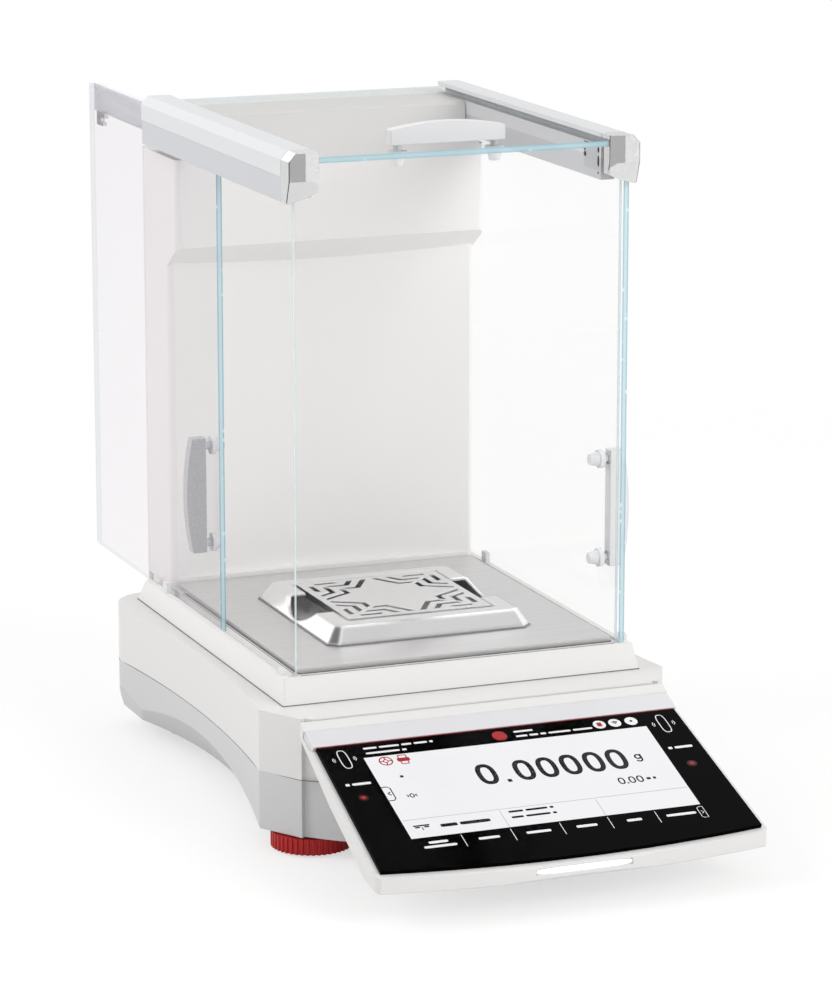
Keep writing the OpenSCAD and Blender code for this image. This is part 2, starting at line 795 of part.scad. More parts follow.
module hook_cover() {
    placed() color(c_dark) translate([0, pan_y, 0]) difference() {
        union() {
            post(0, 0, housing_foot_z, housing_foot_z + 2.5, 10.8);
            post(0, 0, housing_foot_z + 2.5, housing_foot_z + 6.5, 8.8);
        }
        box(-5, 5, -0.8, 0.8, housing_foot_z - 1, housing_foot_z + 1.2);
    }
}

module rear_feet() {
    placed() color(c_black) both_sides() union() {
        post(78, rear_y - 38, floor_z + 1, housing_foot_z, 10);
        post(78, rear_y - 38, floor_z, floor_z + 1.2, 9);
    }
}

module base_screws() {
    placed() color(c_steel) for (y = [corner_y + 20, rear_y - 62]) both_sides() difference() {
        post(66, y, housing_foot_z - 1.6, housing_foot_z, 3.2);
        box(64.4, 67.6, y - 0.4, y + 0.4, housing_foot_z - 2, housing_foot_z - 0.8);
    }
}

// Levelling feet

// Grip outline: a round wheel with even ribs
function rib_point(k, part) =
    let (a = 360 / wheel_ribs * (k + part), r = wheel_diameter / 2 - (part == 0 || part == 0.35 ? 0 : 0.9))
    [r * cos(a), r * sin(a)];

module wheel_plan() {
    polygon([for (k = [0 : wheel_ribs - 1]) for (part = [0, 0.35, 0.5, 0.85]) rib_point(k, part)]);
}

module wheel() {
    translate([wheel_x, wheel_y, 0]) difference() {
        along_z(wheel_foot_z, wheel_top_z) wheel_plan();
        post(0, 0, wheel_foot_z - 1, wheel_foot_z + 2, 14.3);
        post(0, 0, wheel_foot_z, wheel_top_z + 1, stud_foot_radius - 0.02);
        difference() {
            post(0, 0, wheel_top_z - 1.2, wheel_top_z + 1, 17);
            post(0, 0, wheel_top_z - 2, wheel_top_z + 2, 8);
        }
    }
}

module foot_stud() {
    translate([wheel_x, wheel_y, 0]) union() {
        post(0, 0, wheel_foot_z + 1.2, split_z + 2, stud_foot_radius - 0.02);
        translate([0, 0, split_z + 2]) cylinder(r1 = stud_foot_radius - 0.02, r2 = 3, h = 1);
    }
}

module foot_pad() {
    translate([wheel_x, wheel_y, 0]) post(0, 0, floor_z, wheel_foot_z + 1.1, 14);
}

module wheel_right() {
    placed() color(c_red) wheel();
}

module wheel_left() {
    placed() color(c_red) right_side() wheel();
}

module foot_stud_right() {
    placed() color(c_steel) foot_stud();
}

module foot_stud_left() {
    placed() color(c_steel) right_side() foot_stud();
}

module foot_pad_right() {
    placed() color(c_black) foot_pad();
}

module foot_pad_left() {
    placed() color(c_black) right_side() foot_pad();
}

// Terminal

// The slope of the display: v runs up the glass, w out of it, both zero at its top edge
module on_display() {
    translate([0, display_top[0], display_top[1]]) rotate([terminal_tilt, 0, 0]) children();
}

function slope_point(v, w) = [
    display_top[0] + v * cos(terminal_tilt) - w * sin(terminal_tilt),
    display_top[1] + v * sin(terminal_tilt) + w * cos(terminal_tilt)
];

module terminal_plan() {
    half = terminal_width / 2;
    intersection() {
        union() {
            polygon([
                [-half - 4.6, -66], [-half - 0.4, 46.8], [half + 0.4, 46.8], [half + 4.6, -66]
            ]);
            translate([-half - 0.4, -76]) square([2 * half + 0.8, 24]);
            translate([-half - 0.1, -65.6]) circle(4.6);
            translate([half + 0.1, -65.6]) circle(4.6);
        }
        translate([0, front_bow - 75.2]) circle(front_bow, $fn = 720);
    }
}

module terminal_side() {
    polygon([
        [46.8, -14.2], [41.5, -17.6], slope_point(0, -2), slope_point(-display_length - 6.2, -2),
        [-74.4, -61.8], [-75.2, -63.6], [-75.2, -67.6],
        [-74.2, -68.9], [-66, -66.5], [-60, -66.3], [-50.4, -65.2], [-30.9, -56.9], [0.4, -44.5],
        [29.5, -30.6], [46.8, -22.8]
    ]);
}

module terminal_shell() {
    placed() color(c_light) difference() {
        intersection() {
            along_x(-body_half, body_half) terminal_side();
            along_z(-80, 0) terminal_plan();
        }
        along_x(-terminal_width / 2 + 5, terminal_width / 2 - 5) polygon([
            slope_point(-3, 1), slope_point(-3, -6), [0.4, -41.6], [-30.9, -54], [-50.4, -62.2],
            [-64, -63.6], slope_point(-display_length + 3, 1)
        ]);
        along_x(-terminal_width / 2 - 10, terminal_width / 2 + 10) polygon([
            slope_point(13.1, 2), slope_point(13.1, -3.2), slope_point(-0.1, -3.2), slope_point(-0.1, 2)
        ]);
        box(-23.4, 27.4, -76, -73, -65.9, -62.9);
    }
}

// Band between the display glass and the rear edge of the terminal
module terminal_bezel() {
    placed() color(c_blue_grey) intersection() {
        along_x(-terminal_width / 2, terminal_width / 2) polygon([
            slope_point(12.9, -3.2), slope_point(12.9, 0.8), slope_point(0.1, 0.1), slope_point(0.1, -3.2)
        ]);
        along_z(-80, 0) terminal_plan();
    }
}

module display_glass() {
    half = terminal_width / 2 - 1.5;
    placed() color(c_black) on_display() translate([0, 0, -2]) linear_extrude(2) intersection() {
        polygon([
            [-half, -0.2], [half, -0.2], [half + 3.5, -display_length - 6], [-half - 3.5, -display_length - 6]
        ]);
        translate([0, front_bow - display_length - 4.9]) circle(front_bow, $fn = 720);
    }
}

module display_panel() {
    placed() color(c_dark) on_display() wide(terminal_width / 2 - 19.5, -display_length + 5, -4, -5.2, -2);
}

module terminal_board() {
    placed() color(c_green) on_display() union() {
        wide(terminal_width / 2 - 36.5, -display_length + 7, -46, -8.4, -7);
        for (x = [-50, 50]) for (v = [-display_length + 12, -52]) post(x, v, -7, -5.2, 2);
    }
}

module ir_sensors() {
    placed() color(c_red) on_display() both_sides() post(terminal_width / 2 - 10.7, -45.2, -4.6, -2, 2.4);
}

module light_bar() {
    placed() color(c_clear) box(-23, 27, -75.4, -73, -65.7, -63.1);
}

// Cradle that carries the terminal in front of the base
module terminal_bracket() {
    placed() color(c_grey) both_sides() difference() {
        along_x(34, 62) polygon([
            [facet_y - 17, -30.2], [facet_y - 17, -64], [facet_y - 34, -64], [-24, -58.5], [-24, -54.6], [0.4, -44.8]
        ]);
        along_x(38, 58) polygon([
            [facet_y - 24, -45], [facet_y - 24, -70], [2, -70], [2, -49]
        ]);
    }
}

lower_housing();
upper_housing();
deck();
column_housing();
column_back();
column_screws();
rail_left();
rail_right();
rail_cap_left();
rail_cap_right();
front_glass();
door_guides();
left_door_glass();
left_door_carrier();
left_door_catch();
left_handle();
left_handle_studs();
right_door_glass();
right_door_carrier();
right_door_catch();
right_handle();
right_handle_studs();
top_door_glass();
top_handle();
top_handle_studs();
floor_plate();
wind_ring();
pan();
pan_hub();
spigot_seal();
chassis();
weigh_cell();
load_arm();
pan_spigot();
magnet_pot();
cal_weight();
cal_lifter();
cal_motor();
main_board();
connector_panel();
power_inlet();
data_ports();
hook_cover();
rear_feet();
base_screws();
wheel_left();
wheel_right();
foot_stud_left();
foot_stud_right();
foot_pad_left();
foot_pad_right();
terminal_shell();
terminal_bezel();
display_glass();
display_panel();
terminal_board();
ir_sensors();
light_bar();
terminal_bracket();
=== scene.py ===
"""Looks of a semi-micro laboratory balance: finishes of the built parts, the screen, small fittings and the studio."""

import math

import bmesh
import bpy
import numpy as np
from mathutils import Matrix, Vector


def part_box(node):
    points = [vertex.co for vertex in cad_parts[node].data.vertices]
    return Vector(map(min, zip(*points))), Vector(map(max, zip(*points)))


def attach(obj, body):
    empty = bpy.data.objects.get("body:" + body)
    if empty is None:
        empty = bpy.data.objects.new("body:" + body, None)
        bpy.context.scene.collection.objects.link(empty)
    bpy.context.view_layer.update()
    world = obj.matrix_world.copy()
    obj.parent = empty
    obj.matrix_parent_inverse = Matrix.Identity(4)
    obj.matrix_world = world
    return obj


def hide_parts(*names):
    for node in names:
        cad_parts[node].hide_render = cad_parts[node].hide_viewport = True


bl_info = {
    "name": "Laboratory balance looks",
    "version": (1, 0, 0),
    "blender": (4, 5, 0),
    "location": "3D View > Sidebar > Balance",
    "description": "Finishes, screen and small fittings of a semi-micro laboratory balance",
    "category": "Object",
}

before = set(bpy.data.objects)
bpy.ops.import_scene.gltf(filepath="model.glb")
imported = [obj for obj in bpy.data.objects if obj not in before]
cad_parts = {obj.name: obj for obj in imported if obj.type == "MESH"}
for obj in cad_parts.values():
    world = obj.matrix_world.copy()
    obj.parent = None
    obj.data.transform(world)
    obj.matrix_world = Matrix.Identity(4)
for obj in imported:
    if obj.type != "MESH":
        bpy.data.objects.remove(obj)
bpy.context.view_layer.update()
MM = 0.001


def linear(hex_colour):
    """Turns an sRGB hex colour into the linear colour that the shaders take; one that is linear already stays."""
    if not isinstance(hex_colour, str):
        return tuple(hex_colour)
    part = np.array([int(hex_colour[i : i + 2], 16) for i in (1, 3, 5)]) / 255
    part = np.where(part <= 0.04045, part / 12.92, ((part + 0.055) / 1.055) ** 2.4)
    return (*part.tolist(), 1.0)


def hue(name, text, hex_colour):
    """A colour that a user may change, kept linear."""
    return bpy.props.FloatVectorProperty(
        name=name, description=text, default=linear(hex_colour), size=4, min=0, max=1, subtype="COLOR"
    )


def length(name, text, millimetres):
    """A length that a user may change, kept in metres."""
    return bpy.props.FloatProperty(name=name, description=text, default=millimetres * MM, unit="LENGTH", precision=5)


class BalanceColours(bpy.types.PropertyGroup):
    """Colours of the finishes."""

    # The column is the same white moulding as the deck; its colour is painted lighter, standing in for light that the
    # glass chamber keeps from it
    column: hue("Column", "Warm white moulding of the rear column", "#f8f7f5")
    deck: hue("Deck", "White moulding of the weighing deck", "#eeedeb")
    shell: hue("Upper base", "White moulding of the upper base and the terminal", "#e6e5e4")
    foot_shell: hue("Lower base", "Light grey moulding of the lower base", "#d3d3d4")
    rail: hue("Rails", "Paint of the door rails", "#dfe0e2")
    cap: hue("Rail caps", "Metallic paint of the rail caps", "#e3e3e4")
    # The strips' colour is painted lighter than the strips are, standing in for light they get too little
    carrier: hue("Door strips", "Pale blue-grey of the strips on the side doors", "#f6f8fa")
    handle: hue("Handles", "Satin silver of the door handles", "#eeeeef")
    steel: hue("Steel", "Stainless steel", "#dddcdc")
    wheel: hue("Wheels", "Red of the levelling wheels", "#c01a1d")
    black: hue("Display glass", "Black print behind the display glass", "#030303")
    paper: hue("Lit screen", "White of the lit screen", "#f4f4f6")
    ink: hue("Figures", "Figures on the screen", "#0d0d0e")
    print_white: hue("White print", "White marks on the black glass", "#e9e9ea")
    red_mark: hue("Red marks", "Red marks on the screen", "#b5202a")


class BalanceSizes(bpy.types.PropertyGroup):
    """Sizes of the fittings and of the moulded grain."""

    corner: length("Corner radius", "Soft edge that a mould leaves on every corner", 0.5)
    grain: length("Grain", "Spacing of the spark-eroded mould grain, drawn coarse enough to show", 0.9)
    film: length("Print height", "How far the printed marks stand above the display glass", 0.06)
    stroke: length("Figure stroke", "Stroke width of the large figures", 2.65)
    figure_width: length("Figure width", "Width of one large figure", 10.3)
    figure_height: length("Figure height", "Height of one large figure down the slope", 16.9)
    tilt: bpy.props.FloatProperty(
        name="Display slope", description="Slope of the display glass", default=math.radians(19.56), subtype="ANGLE"
    )
    key_light: bpy.props.FloatProperty(
        name="Key lamp", description="Power of the large lamp at the right", default=21.0, unit="POWER"
    )
    sky: bpy.props.FloatProperty(
        name="Room light", description="Strength of the even light from all round", default=0.8, min=0
    )


# Shapes

ARC_POINTS = 14
# Rings between the middle of a pad and its rim, and faces round a bead or a thread
PAD_RINGS = 4
SIDES = 6


def superellipse(count, half_u, half_v, power):
    """Outline of a rounded block: u = a sgn(cos t)|cos t|^(2/n), v = b sgn(sin t)|sin t|^(2/n) for t once round."""
    t = np.linspace(0, 2 * np.pi, count, endpoint=False)
    c, s = np.cos(t), np.sin(t)
    return np.stack(
        [half_u * np.sign(c) * np.abs(c) ** (2 / power), half_v * np.sign(s) * np.abs(s) ** (2 / power)], 1
    )


def circle(radius, count=32):
    """Once round: u = r cos t, v = r sin t."""
    return superellipse(count, radius, radius, 2)


def arc(radius, start, stop):
    """Part of a circle: u = r cos t, v = r sin t, for t from start to stop in degrees."""
    t = np.radians(np.linspace(start, stop, ARC_POINTS))
    return np.stack([radius * np.cos(t), radius * np.sin(t)], 1)


def heading(path, closed):
    """Unit direction at each point of a path."""
    ahead = np.roll(path, -1, 0) - np.roll(path, 1, 0) if closed else np.gradient(path, axis=0)
    return ahead / np.linalg.norm(ahead, axis=1)[:, None]


class Shape:
    """Points, in mm, and faces gathered from several grids, then made into one mesh."""

    def __init__(self):
        self.points, self.quads, self.tris, self.count = [], [], [], 0

    def grid(self, points, wrap_rows=False, start=None, end=None):
        """Joins a grid of rows by columns, columns once round; the ends close to a point where one is given."""
        rows, columns = points.shape[:2]
        index = np.arange(rows * columns).reshape(rows, columns) + self.count
        ahead = np.roll(index, -1, 0) if wrap_rows else index[1:]
        here = index if wrap_rows else index[:-1]
        self.quads.append(np.stack([here, ahead, np.roll(ahead, -1, 1), np.roll(here, -1, 1)], 2).reshape(-1, 4))
        self.points.append(points.reshape(-1, 3))
        self.count += rows * columns
        for tip, row, turn in ((start, index[0], 1), (end, index[-1], -1)):
            if tip is not None:
                self.points.append(np.array([tip], float))
                fan = np.stack([np.full(columns, self.count), row, np.roll(row, -1)], 1)
                self.tris.append(fan[:, ::turn])
                self.count += 1

    def pad(self, outline, centre, height):
        """A closed flat pad that fills an outline. Point (s, t) = centre + r outline(t), raised by h (1 - r^6), where
        r = sqrt(s) runs from the middle to the rim over the top, and back underneath with h turned down."""
        s = np.linspace(0, 2, 2 * PAD_RINGS + 1)[1:-1]
        reach = np.minimum(s, 2 - s) ** 0.5
        lift = np.sign(1 - s) * height * (1 - reach**6)
        flat = np.array(centre, float) + reach[:, None, None] * outline[None]
        body = np.concatenate([flat, np.broadcast_to(lift[:, None, None], (*flat.shape[:2], 1))], 2)
        self.grid(body, start=[*centre, height], end=[*centre, -height])

    def line(self, path, width, height, centre=(0, 0), closed=False):
        """A flat bead along a path set off by its centre. Point (t, p) = path(t) + w/2 cos(p) across + h sin(p) up,
        for p once round; an open bead shrinks to a point at both ends."""
        path = np.asarray(path, float) + centre
        ahead = heading(path, closed)
        across = np.stack([ahead[:, 1], -ahead[:, 0]], 1)
        p = np.linspace(0, 2 * np.pi, SIDES, endpoint=False) + np.pi / SIDES
        flat = path[:, None] + width / 2 * np.cos(p)[None, :, None] / np.cos(np.pi / SIDES) * across[:, None]
        lift = np.broadcast_to(height * np.sin(p)[None, :, None], (*flat.shape[:2], 1))
        tips = (None, None) if closed else ([*path[0], 0.0], [*path[-1], 0.0])
        self.grid(np.concatenate([flat, lift], 2), closed, *tips)

    def thread(self, path, radius, closed=False):
        """A round thread along a path in space. Point (t, p) = path(t) + r (cos(p) n + sin(p) b), where n and b
        stand square to the path's direction; an open thread shrinks to a point at both ends."""
        path = np.asarray(path, float)
        ahead = heading(path, closed)
        # Any direction will do that no path here follows
        side = np.cross(ahead, (0.31, 0.22, 0.93))
        side /= np.linalg.norm(side, axis=1)[:, None]
        p = np.linspace(0, 2 * np.pi, SIDES, endpoint=False)[None, :, None]
        body = path[:, None] + radius * (np.cos(p) * side[:, None] + np.sin(p) * np.cross(ahead, side)[:, None])
        tips = (None, None) if closed else (path[0], path[-1])
        self.grid(body, closed, *tips)

    def finish(self, name, place, body, slot, material, smooth=False):
        """Makes the mesh from point = origin + a u + b v + c w, where place = (origin, u, v, w), all in metres."""
        points = np.concatenate(self.points)
        origin, u, v, w = (np.array(c, float) for c in place)
        world = origin + points[:, :1] * u + points[:, 1:2] * v + points[:, 2:] * w
        faces = [*np.concatenate(self.quads).tolist()]
        if self.tris:
            faces += np.concatenate(self.tris).tolist()
        mesh = bpy.data.meshes.new(name)
        mesh.from_pydata(world.tolist(), [], faces)
        mesh.validate()
        mesh.update()
        piece = bpy.data.objects.new(name, mesh)
        bpy.context.scene.collection.objects.link(piece)
        mesh.materials.append(material)
        mesh.polygons.foreach_set("use_smooth", [smooth] * len(mesh.polygons))
        turn_out(piece)
        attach(piece, body)
        return piece


def box_mm(node):
    """Low and high corners of a built part's box, in mm."""
    return (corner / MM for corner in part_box(node))


def outline_at(node, level, inset):
    """Outer outline of a built part at one height, in mm: its points there in order of angle, without those that lie
    more than 1 mm inside the line between their neighbours, drawn in by the inset."""
    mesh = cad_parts[node].data
    points = np.empty(len(mesh.vertices) * 3, np.float32)
    mesh.vertices.foreach_get("co", points)
    points = points.reshape(-1, 3).astype(float) / MM
    points = np.unique(points[np.abs(points[:, 2] - level) < 0.05].round(2)[:, :2], axis=0)
    centre = (points.min(0) + points.max(0)) / 2
    points = points[np.argsort(np.arctan2(*(points - centre).T[::-1]))]
    while True:
        back, ahead = np.roll(points, 1, 0), np.roll(points, -1, 0)
        chord = ahead - back
        inside = (chord[:, 0] * (points - back)[:, 1] - chord[:, 1] * (points - back)[:, 0]) / np.hypot(*chord.T)
        keep = inside < 1.0
        if keep.all():
            break
        # Of two neighbours that both lie inside, the deeper one goes first
        worst = (inside >= np.roll(inside, 1)) & (inside >= np.roll(inside, -1))
        points = points[keep | ~worst]
    reach = np.linalg.norm(points - centre, axis=1)[:, None]
    return centre + (points - centre) * (1 - inset / reach)


def turn_out(piece):
    """Recalculates the normals of a closed mesh so that they all point outwards."""
    shape = bmesh.new()
    shape.from_mesh(piece.data)
    bmesh.ops.recalc_face_normals(shape, faces=shape.faces)
    shape.to_mesh(piece.data)
    shape.free()


# Finishes

WHITE = (1, 1, 1, 1)
SMOOTH = {"interpolation_type": "SMOOTHSTEP"}
# Brushed and drawn streaks run this far, in metres
STREAK_LENGTH = 0.09


def add_node(tree, kind, inputs=None, **settings):
    """Adds one shader node. Each input takes a value, another node's output socket, or another node, which stands for
    its first live output; None leaves the input alone."""
    node = tree.nodes.new("ShaderNode" + kind)
    for key, value in settings.items():
        setattr(node, key, value)
    for key, value in (inputs or {}).items():
        if isinstance(value, bpy.types.Node):
            value = next(socket for socket in value.outputs if socket.enabled)
        if isinstance(value, bpy.types.NodeSocket):
            tree.links.new(value, node.inputs[key])
        elif value is not None:
            node.inputs[key].default_value = value
    return node


def new_material(name):
    """A material, its node tree, and the place on the object that its patterns hang on."""
    material = bpy.data.materials.new(name)
    material.use_nodes = True
    tree = material.node_tree
    tree.nodes.clear()
    return material, tree, add_node(tree, "TexCoord").outputs["Object"]


def shade(name, colour, roughness, metallic=0.0, corner=0.7, grain=None, specks=None, lines=None, tone=0.02,
          rough_swing=0.05, shaded_below=None, specular=0.5):
    """A surface with soft corners, a slow drift of tone, and grain, specks or drawn lines.
    corner = radius mm; grain = (spacing mm, depth mm); specks = (spacing mm, light colour, share);
    lines = (direction, spacing mm, depth mm); below = (height mm, darker colour under it, a painted shade)."""
    material, tree, place = new_material(name)
    colour = linear(colour)
    drift = add_node(tree, "TexNoise", {"Scale": 14.0, "Detail": 3.0, "Vector": place})
    dark = tuple(c * (1 - tone) for c in colour[:3]) + (1.0,)
    base = add_node(tree, "Mix", {6: dark, 7: colour, "Factor": drift}, data_type="RGBA")
    # A darker colour under a set height: painted shade
    if shaded_below:
        level, deeper = shaded_below
        height = add_node(tree, "SeparateXYZ", {"Vector": place}).outputs["Z"]
        under = add_node(
            tree, "MapRange", {"From Min": (level + 0.3) * MM, "From Max": (level - 0.3) * MM, "Value": height}
        )
        base = add_node(tree, "Mix", {6: base, 7: linear(deeper), "Factor": under}, data_type="RGBA")
    relief = []
    if grain:
        spacing, depth = grain
        fine = add_node(
            tree, "TexNoise", {"Scale": 1 / (spacing * MM), "Detail": 2.0, "Roughness": 0.6, "Vector": place}
        )
        relief.append((fine, 0.5, depth))
    if lines:
        along, spacing, depth = lines
        stretch = [1 / (spacing * MM)] * 3
        stretch["xyz".index(along)] = 1 / STREAK_LENGTH
        mapped = add_node(tree, "Mapping", {"Scale": stretch, "Vector": place})
        streak = add_node(tree, "TexNoise", {"Scale": 1.0, "Detail": 4.0, "Roughness": 0.65, "Vector": mapped})
        relief.append((streak, 0.6, depth))
        worn = add_node(
            tree, "MapRange", {"From Min": 0.3, "From Max": 0.7, "To Min": 0.9, "To Max": 1.08, "Value": streak}
        )
        base = add_node(tree, "Mix", {"Factor": 1.0, 6: base, 7: worn}, data_type="RGBA", blend_type="MULTIPLY")
    if specks:
        spacing, light, share = specks
        cells = add_node(tree, "TexVoronoi", {"Scale": 1 / (spacing * MM), "Vector": place})
        glint = add_node(tree, "MapRange", {"From Min": 1 - share, "From Max": 1.0, "Value": cells.outputs["Color"]})
        base = add_node(tree, "Mix", {6: base, 7: linear(light), "Factor": glint}, data_type="RGBA")
    normal = add_node(tree, "Bevel", {"Radius": corner * MM}, samples=6) if corner else None
    for height, strength, depth in relief:
        normal = add_node(
            tree, "Bump", {"Strength": strength, "Distance": depth * MM, "Height": height, "Normal": normal}
        )
    rough = add_node(
        tree, "MapRange",
        {"To Min": max(0.02, roughness - rough_swing), "To Max": roughness + rough_swing, "Value": drift},
    )
    skin = add_node(
        tree, "BsdfPrincipled",
        {"Metallic": metallic, "Specular IOR Level": specular, "Base Color": base, "Roughness": rough,
         "Normal": normal},
    )
    add_node(tree, "OutputMaterial", {"Surface": skin})
    return material


def only_seen(tree, *kinds):
    """1 for rays of the kinds named, 0 for the others that carry light about."""
    ray = add_node(tree, "LightPath").outputs
    total = ray[kinds[0]]
    for kind in kinds[1:]:
        total = add_node(tree, "Math", {0: total, 1: ray[kind]}, operation="MAXIMUM")
    return total


def float_glass(name, pane, across, core, rim, lit, mirror, tint):
    """Drawn float glass: the faces let light through with a faint reflection, and the cut edges, which face any way
    but `across`, gather the sea green of the glass's depth, deeper at both arrises. The edges at the `lit` end (sign
    and axis; = stands for both ends) are drawn full, painted light where the light catches them; the others are drawn
    at 0.22 of that, painted shade."""
    material, tree, place = new_material(name)
    axis, lit_axis = "xyz".index(across), "xyz".index(lit[1])
    low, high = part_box(pane)
    spot = add_node(tree, "SeparateXYZ", {"Vector": place}).outputs
    facing = add_node(tree, "SeparateXYZ", {"Vector": place.node.outputs["Normal"]}).outputs
    size = add_node(tree, "Math", {0: facing[axis]}, operation="ABSOLUTE")
    edge = add_node(tree, "Math", {0: size, 1: 0.7}, operation="LESS_THAN")
    through = add_node(tree, "BsdfTransparent", {"Color": linear(tint)})
    shine = add_node(tree, "BsdfGlossy", {"Color": WHITE, "Roughness": 0.02})
    # Reflection rises as 0.04 + (1 - cos)^5, the same from either side of the pane
    slant = add_node(tree, "LayerWeight", {"Blend": 0.5}).outputs["Facing"]
    rise = add_node(tree, "Math", {0: slant, 1: 5.0}, operation="POWER")
    turn = add_node(tree, "Math", {0: rise, 1: 0.04}, operation="ADD")
    seen = only_seen(tree, "Is Camera Ray", "Is Glossy Ray")
    weak = add_node(tree, "Math", {0: turn, 1: seen}, operation="MULTIPLY")
    half = add_node(tree, "Math", {0: weak, 1: mirror}, operation="MULTIPLY")
    face = add_node(tree, "MixShader", {0: half, 1: through, 2: shine})
    middle = add_node(tree, "Math", {0: spot[axis], 1: (low[axis] + high[axis]) / 2}, operation="SUBTRACT")
    reach = add_node(tree, "Math", {0: middle}, operation="ABSOLUTE")
    thick = (high[axis] - low[axis]) / 2
    border = add_node(tree, "MapRange", {"From Min": thick * 0.3, "From Max": thick * 0.85, "Value": reach}, **SMOOTH)
    green = add_node(tree, "Mix", {6: linear(core), 7: linear(rim), "Factor": border}, data_type="RGBA")
    # Painted glints: pale spots mixed into the edge colour where the polished arris is chipped, drawn about 1 mm across
    # and 5 mm apart
    painted_glint_cells = add_node(tree, "TexVoronoi", {"Scale": 160.0, "Vector": place})
    glint = add_node(tree, "MapRange", {"From Min": 0.22, "From Max": 0.12, "Value": painted_glint_cells})
    sparkle = add_node(tree, "Mix", {6: green, 7: linear("#d9ecf1"), "Factor": glint}, data_type="RGBA")
    deep = add_node(tree, "BsdfTransparent", {"Color": linear("#e2f0f2")})
    body = add_node(tree, "BsdfPrincipled", {"Roughness": 0.12, "Base Color": sparkle})
    cut = add_node(tree, "MixShader", {0: 0.75, 1: deep, 2: body})
    # Light that is only passing by goes through the edges unchanged
    clear = add_node(tree, "BsdfTransparent", {"Color": WHITE})
    shown = add_node(tree, "MixShader", {0: seen, 1: clear, 2: cut})
    along, end, sign = spot[lit_axis], high[lit_axis], 1
    if lit[0] == "=":
        along = add_node(tree, "Math", {0: along}, operation="ABSOLUTE")
    else:
        end, sign = low[lit_axis], -1
    # Painted light and shade: full edge colour at the lit end, 0.22 of it on the other edges
    strength = add_node(
        tree, "MapRange",
        {"From Min": end - sign * 0.6 * MM, "From Max": end - sign * 0.4 * MM, "To Min": 0.22, "Value": along},
    )
    part = add_node(tree, "Math", {0: edge, 1: strength}, operation="MULTIPLY")
    whole = add_node(tree, "MixShader", {0: part, 1: face, 2: shown})
    add_node(tree, "OutputMaterial", {"Surface": whole})
    return material


def clear_moulding(name, tint, cloud):
    """Clear moulded acrylic: mostly see-through, with a milky body colour that catches the light on its turns."""
    material, tree, place = new_material(name)
    tint = linear(tint)
    mottle = add_node(tree, "TexNoise", {"Scale": 220.0, "Detail": 2.0, "Vector": place})
    share = add_node(tree, "MapRange", {"To Min": cloud - 0.08, "To Max": cloud + 0.08, "Value": mottle})
    through = add_node(tree, "BsdfTransparent", {"Color": tint})
    body = add_node(tree, "BsdfPrincipled", {"Base Color": tint, "Roughness": 0.1, "IOR": 1.49})
    mix = add_node(tree, "MixShader", {0: share, 1: through, 2: body})
    add_node(tree, "OutputMaterial", {"Surface": mix})
    return material


def glowing(name, colour, strength, patch_mm=30.0, body="#101012"):
    """A lit surface under glass: even light with the slight unevenness of its lamps behind."""
    material, tree, place = new_material(name)
    colour = linear(colour)
    uneven = add_node(tree, "TexNoise", {"Scale": 1 / (patch_mm * MM), "Vector": place})
    dim = tuple(c * 0.97 for c in colour[:3]) + (1.0,)
    light = add_node(tree, "Mix", {6: dim, 7: colour, "Factor": uneven}, data_type="RGBA")
    skin = add_node(
        tree, "BsdfPrincipled",
        {"Base Color": linear(body), "Roughness": 0.2, "Specular IOR Level": 0.1, "Emission Strength": strength,
         "Emission Color": light},
    )
    add_node(tree, "OutputMaterial", {"Surface": skin})
    return material


def dress(material, *names):
    """Puts a material on the built parts named."""
    for name in names:
        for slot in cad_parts[name].material_slots:
            slot.material = material


def colours():
    """The colours as the user has them."""
    return bpy.context.scene.balance_colours


def sizes():
    """The sizes as the user has them."""
    return bpy.context.scene.balance_sizes


# Finishes of the built parts

# Height of the step along the rails, in mm; under it the colour is greyer, a painted shade of the lower facet, which
# faces down
RAIL_STEP = 338.0


class BALANCE_OT_mouldings(bpy.types.Operator):
    """Moulded shells of the base, deck, column and terminal"""

    bl_idname = "balance.mouldings"
    bl_label = "Mouldings"

    def execute(self, context):
        c, s = colours(), sizes()
        corner, grain = s.corner / MM, (s.grain / MM, 0.05)
        # Polycarbonate-ABS from a spark-eroded mould: the fine grain breaks highlights into a soft satin
        for name, colour, roughness, parts in (
            # The column's white is painted lighter than the deck's, standing in for light the chamber keeps from it
            ("white_painted_light", c.column, 0.42, ("column_housing", "column_back")),
            ("deck_white", c.deck, 0.42, ("deck",)),
            ("white", c.shell, 0.4, ("upper_housing", "terminal_shell")),
            ("light_grey", c.foot_shell, 0.45, ("lower_housing", "terminal_bracket")),
        ):
            dress(shade("moulded_abs_" + name, colour, roughness, corner=corner, grain=grain), *parts)
        return {"FINISHED"}


